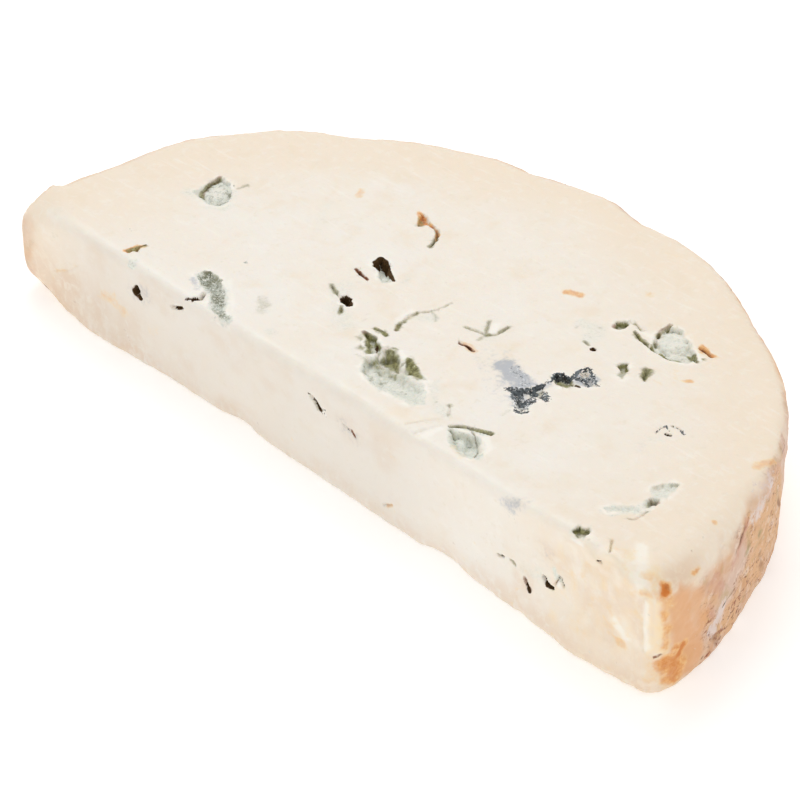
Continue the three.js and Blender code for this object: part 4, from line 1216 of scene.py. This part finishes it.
class Finish:
    """A material under construction."""

    def __init__(self, name):
        self.material = bpy.data.materials.new(name)
        self.material.use_nodes = True
        self.tree = self.material.node_tree
        self.shader = self.tree.nodes["Principled BSDF"]

    def node(self, kind, settings=None, sockets=None, output=0):
        node = self.tree.nodes.new(kind)
        for key, value in (settings or {}).items():
            setattr(node, key, value)
        for key, value in (sockets or {}).items():
            plug(self.tree, node.inputs[key], value)
        return Wire(node.outputs[output])

    def mask(self, name):
        return self.node("ShaderNodeAttribute", {"attribute_name": name}, output="Fac")

    def place(self):
        return self.node("ShaderNodeTexCoord", output="Object")

    def stretch(self, scale):
        return self.node("ShaderNodeMapping", {}, {"Vector": self.place(), "Scale": scale})

    def grain(self, size_mm, detail=3.0, rough=0.55, warp=0.0, scale=(1, 1, 1)):
        sockets = {"Vector": self.stretch(scale), "Scale": 1 / (size_mm * mm), "Detail": detail}
        sockets.update({"Roughness": rough, "Distortion": warp})
        return self.node("ShaderNodeTexNoise", {}, sockets)

    def between(self, low, high, value):
        sockets = {"Value": value, "From Min": low, "From Max": high}
        return self.node("ShaderNodeMapRange", {"interpolation_type": "SMOOTHSTEP"}, sockets)

    def blend(self, amount, first, second, mode="MIX"):
        node = self.tree.nodes.new("ShaderNodeMix")
        node.data_type = "RGBA"
        node.blend_type = mode
        plug(self.tree, node.inputs["Factor"], amount)
        plug(self.tree, node.inputs["A"], first)
        plug(self.tree, node.inputs["B"], second)
        return Wire(node.outputs["Result"])

    def bump(self, height, distance_mm, strength=1.0, under=None):
        sockets = {"Height": height, "Distance": distance_mm * mm, "Strength": strength}
        if under is not None:
            sockets["Normal"] = under
        return self.node("ShaderNodeBump", {}, sockets)

    def feed(self, **sockets):
        for name, value in sockets.items():
            plug(self.tree, self.shader.inputs[name.replace("_", " ")], value)


def tone(red, green, blue, light=1.0):
    """A colour as the eye names it, 0 to 255, made linear and divided by the light on it."""
    linear = [(v / 255 / 12.92 if v <= 10 else ((v / 255 + 0.055) / 1.055) ** 2.4) for v in (red, green, blue)]
    return (*[v / light for v in linear], 1.0)


print("a cream tone in linear light:", [round(v, 3) for v in tone(244, 235, 222)])

# %% [markdown]
# ## Paste, mould and rind
# One material dresses the whole piece, because on the real cheese the kinds run into each other.
# It starts from cream paste, warmer towards the rind, then lays on the stains in the order that
# they grow: pale veil, olive mould, blue-black mould, brown hollows that are partly painted shade,
# amber whey and the rind.
# Each mask's soft edge is broken by a fine noise, which turns a smooth stain into small colonies.

# %% material of the cheese
skin = Finish("cheese_paste_and_rind")
grit = skin.grain(0.34, 3.0, 0.6)
speck = skin.grain(0.7, 4.0, 0.65)
colony = skin.grain(1.6, 4.0, 0.6, 0.4)
patch = skin.grain(5, 3.0, 0.55, 0.3)
cloud = skin.grain(14, 3.0, 0.5)


def colonies(name, low, high, breaking):
    """A mask whose edge is broken into colonies."""
    broken = skin.mask(name) + (colony - 0.5) * breaking + (speck - 0.5) * breaking + (grit - 0.5) * breaking
    return skin.between(low, high, broken)


cream = skin.blend(skin.between(0.35, 0.7, cloud), tone(243, 234, 221), tone(243, 237, 228))
cream = skin.blend(skin.mask("warm"), cream, tone(243, 227, 206))
cream = skin.blend(skin.between(0.5, 0.75, patch) * 0.45, cream, tone(239, 222, 198))
cream = skin.blend(skin.between(0.5, 0.7, colony) * 0.3, cream, tone(248, 243, 234))
cream = skin.blend(skin.between(0.58, 0.74, skin.grain(1.1, 3.0, 0.6)) * 0.35, cream, tone(232, 220, 198))
cream = skin.blend(skin.between(0.56, 0.76, skin.grain(1.6, 3.0, 0.6, 0.0, (0.2, 1.4, 0.5))) * 0.35, cream, tone(250, 245, 236))
cream = skin.blend(skin.mask("tan") * skin.between(0.25, 0.6, colony), cream, tone(228, 198, 168))
# painted shade on the left and middle of the cut face
cream = skin.blend(skin.mask("cut_face_shade"), cream, tone(226, 217, 205))
cream = skin.blend(skin.mask("butter") * skin.between(0.2, 0.6, colony), cream, tone(248, 226, 192))
# white curd, and the painted highlights along the ridge and the rims of the hollows
cream = skin.blend(skin.mask("white_curd_and_highlight") * 0.7, cream, tone(253, 249, 240))

cluster = skin.between(0.46, 0.62, skin.grain(7, 3.0, 0.6, 0.4)) + skin.mask("specks")
rind_tan = skin.blend(skin.between(0.4, 0.62, skin.grain(11, 3.0, 0.6, 0.4)), tone(222, 177, 134), tone(219, 188, 168))
rind_tan = skin.blend(skin.between(0.5, 0.68, skin.grain(5, 4.0, 0.6, 0.6)) * 0.8, rind_tan, tone(208, 156, 112))
rind_tan = skin.blend(skin.between(0.54, 0.7, skin.grain(3.6, 4.0, 0.6, 0.6)) * 0.6, rind_tan, tone(190, 162, 116))
rind_tan = skin.blend(skin.between(0.52, 0.66, skin.grain(2.2, 4.0, 0.7, 0.4)) * 0.6, rind_tan, tone(238, 216, 198))
rind_tan = skin.blend(skin.between(0.4, 0.8, skin.mask("blush") + (colony - 0.5) * 0.6) * 0.8, rind_tan, tone(204, 150, 128))
rind_tan = skin.blend(skin.between(0.54, 0.64, skin.grain(1.2, 4.0, 0.7, 0.4, (0.6, 0.6, 1.2))) * (0.1 + cluster * 0.6), rind_tan, tone(168, 106, 74))
rind_tan = skin.blend(skin.between(0.57, 0.65, skin.grain(0.7, 3.0, 0.6, 0.3, (0.6, 0.6, 1.2))) * cluster * 0.65, rind_tan, tone(138, 74, 44))

pale_mould = skin.blend(skin.between(0.35, 0.65, speck), tone(216, 221, 211), tone(236, 237, 228))
pale_mould = skin.blend(skin.between(0.56, 0.66, grit) * 0.4, pale_mould, tone(246, 246, 238))
pale_mould = skin.blend(skin.between(0.44, 0.36, grit) * 0.35, pale_mould, tone(150, 156, 132))
moss = skin.blend(skin.between(0.38, 0.6, colony), tone(128, 130, 108), tone(184, 188, 176))
moss = skin.blend(skin.between(0.5, 0.4, grit) * 0.75, moss, tone(100, 100, 78))
moss = skin.blend(skin.between(0.56, 0.64, grit) * 0.8, moss, tone(244, 242, 234))
moss = skin.blend(skin.between(0.57, 0.66, speck) * 0.4, moss, tone(244, 243, 236))
olive_mould = skin.blend(skin.between(0.38, 0.62, speck), tone(102, 98, 50), tone(162, 160, 112))
ink_mould = skin.blend(skin.between(0.4, 0.62, speck), tone(24, 28, 30), tone(96, 104, 108))

look = cream
hazy = skin.mask("haze") + (colony - 0.5) * 0.9 + (speck - 0.5) * 1.1
look = skin.blend(skin.between(0.1, 0.95, hazy) * skin.between(0.0, 0.3, skin.mask("haze")) * 0.85, look, tone(174, 179, 187))
look = skin.blend(skin.between(0.1, 1.0, skin.mask("veil") + (colony - 0.5) * 0.45), look, pale_mould)
look = skin.blend(skin.mask("rind"), look, rind_tan)
look = skin.blend(skin.between(0.1, 0.9, skin.mask("peach") + (patch - 0.5) * 0.4) * 0.85, look, tone(227, 167, 114))
whey = skin.blend(skin.between(0.4, 0.65, speck), tone(224, 152, 78), tone(240, 190, 128))
whey = skin.blend(skin.between(0.3, 0.7, skin.mask("amber")), tone(246, 214, 152), whey)
whey = skin.blend(skin.between(0.8, 1.0, skin.mask("amber")), whey, tone(208, 118, 40))
stained = skin.mask("amber") + (colony - 0.5) * 0.6 + (speck - 0.5) * 0.5
look = skin.blend(skin.between(0.2, 0.95, stained) * skin.between(0.0, 0.2, skin.mask("amber")), look, whey)
look = skin.blend(skin.between(0.3, 0.8, skin.mask("rust") + (colony - 0.5) * 0.5), look, tone(138, 88, 58))
look = skin.blend(skin.between(0.3, 0.8, skin.mask("fuzz") + (colony - 0.5) * 1.2 + (speck - 0.5) * 1.3 + (grit - 0.5) * 0.7), look, tone(227, 208, 199))
look = skin.blend(colonies("olive", 0.15, 0.95, 0.35), look, olive_mould)
look = skin.blend(skin.between(0.3, 0.6, skin.mask("moss") + (speck - 0.5) * 1.5 + (grit - 0.5) * 1.1), look, moss)
# painted shade: olive darkening in the gaps between crumbs
look = skin.blend(skin.between(0.35, 0.75, skin.mask("crumb_gap_shade") + (grit - 0.5) * 0.3) * 0.5, look, tone(106, 106, 70))
granules = skin.mask("ink") + (grit - 0.5) * 1.7 + (speck - 0.5) * 0.8
look = skin.blend(skin.between(0.44, 0.36, grit) * skin.between(0.1, 0.4, skin.mask("ink")) * 0.7, look, tone(246, 245, 242))
look = skin.blend(skin.between(0.46, 0.64, granules) * skin.between(0.02, 0.2, skin.mask("ink")), look, ink_mould)
# dark brown of deep holes, cracks and far walls: partly mould, partly painted shade
shade = colonies("dark", 0.4, 0.75, 0.2)
look = skin.blend(shade, look, tone(70, 46, 12))

mouldy = skin.mask("moss") + skin.mask("olive") * 0.6 + skin.mask("veil") * 0.5 + skin.mask("ink")
fine = skin.bump(speck + skin.mask("rind") * (colony + speck) * 0.6 + mouldy * grit, 0.14, 0.4)
fine = skin.bump(skin.grain(1.0, 2.0, 0.5, 0.0, (0.1, 2.0, 1.0)), 0.05, 0.25, fine)
rough = 0.5 + (skin.grain(2.5) - 0.5) * 0.2 + skin.mask("rind") * 0.2 + shade * 0.4
skin.feed(Base_Color=look, Roughness=rough, Normal=fine)
skin.feed(Subsurface_Weight=0.2, Subsurface_Scale=0.0012, Subsurface_Radius=(1.0, 0.7, 0.45))
skin.feed(Specular_IOR_Level=0.4)
cheese.data.materials.clear()
cheese.data.materials.append(skin.material)
print("material nodes:", len(skin.tree.nodes))

# %% [markdown]
# ## Handing over
# The finished mesh is moved to the frame, rides on the only body and stands for the plain solid.

# %% to the frame
write_points(cheese, (points - np.array(slab_middle)) * mm)
cheese.data.polygons.foreach_set("use_smooth", [True] * len(cheese.data.polygons))
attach(cheese, "root")
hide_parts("cheese")
print("triangles:", sum(len(face.vertices) - 2 for face in cheese.data.polygons))
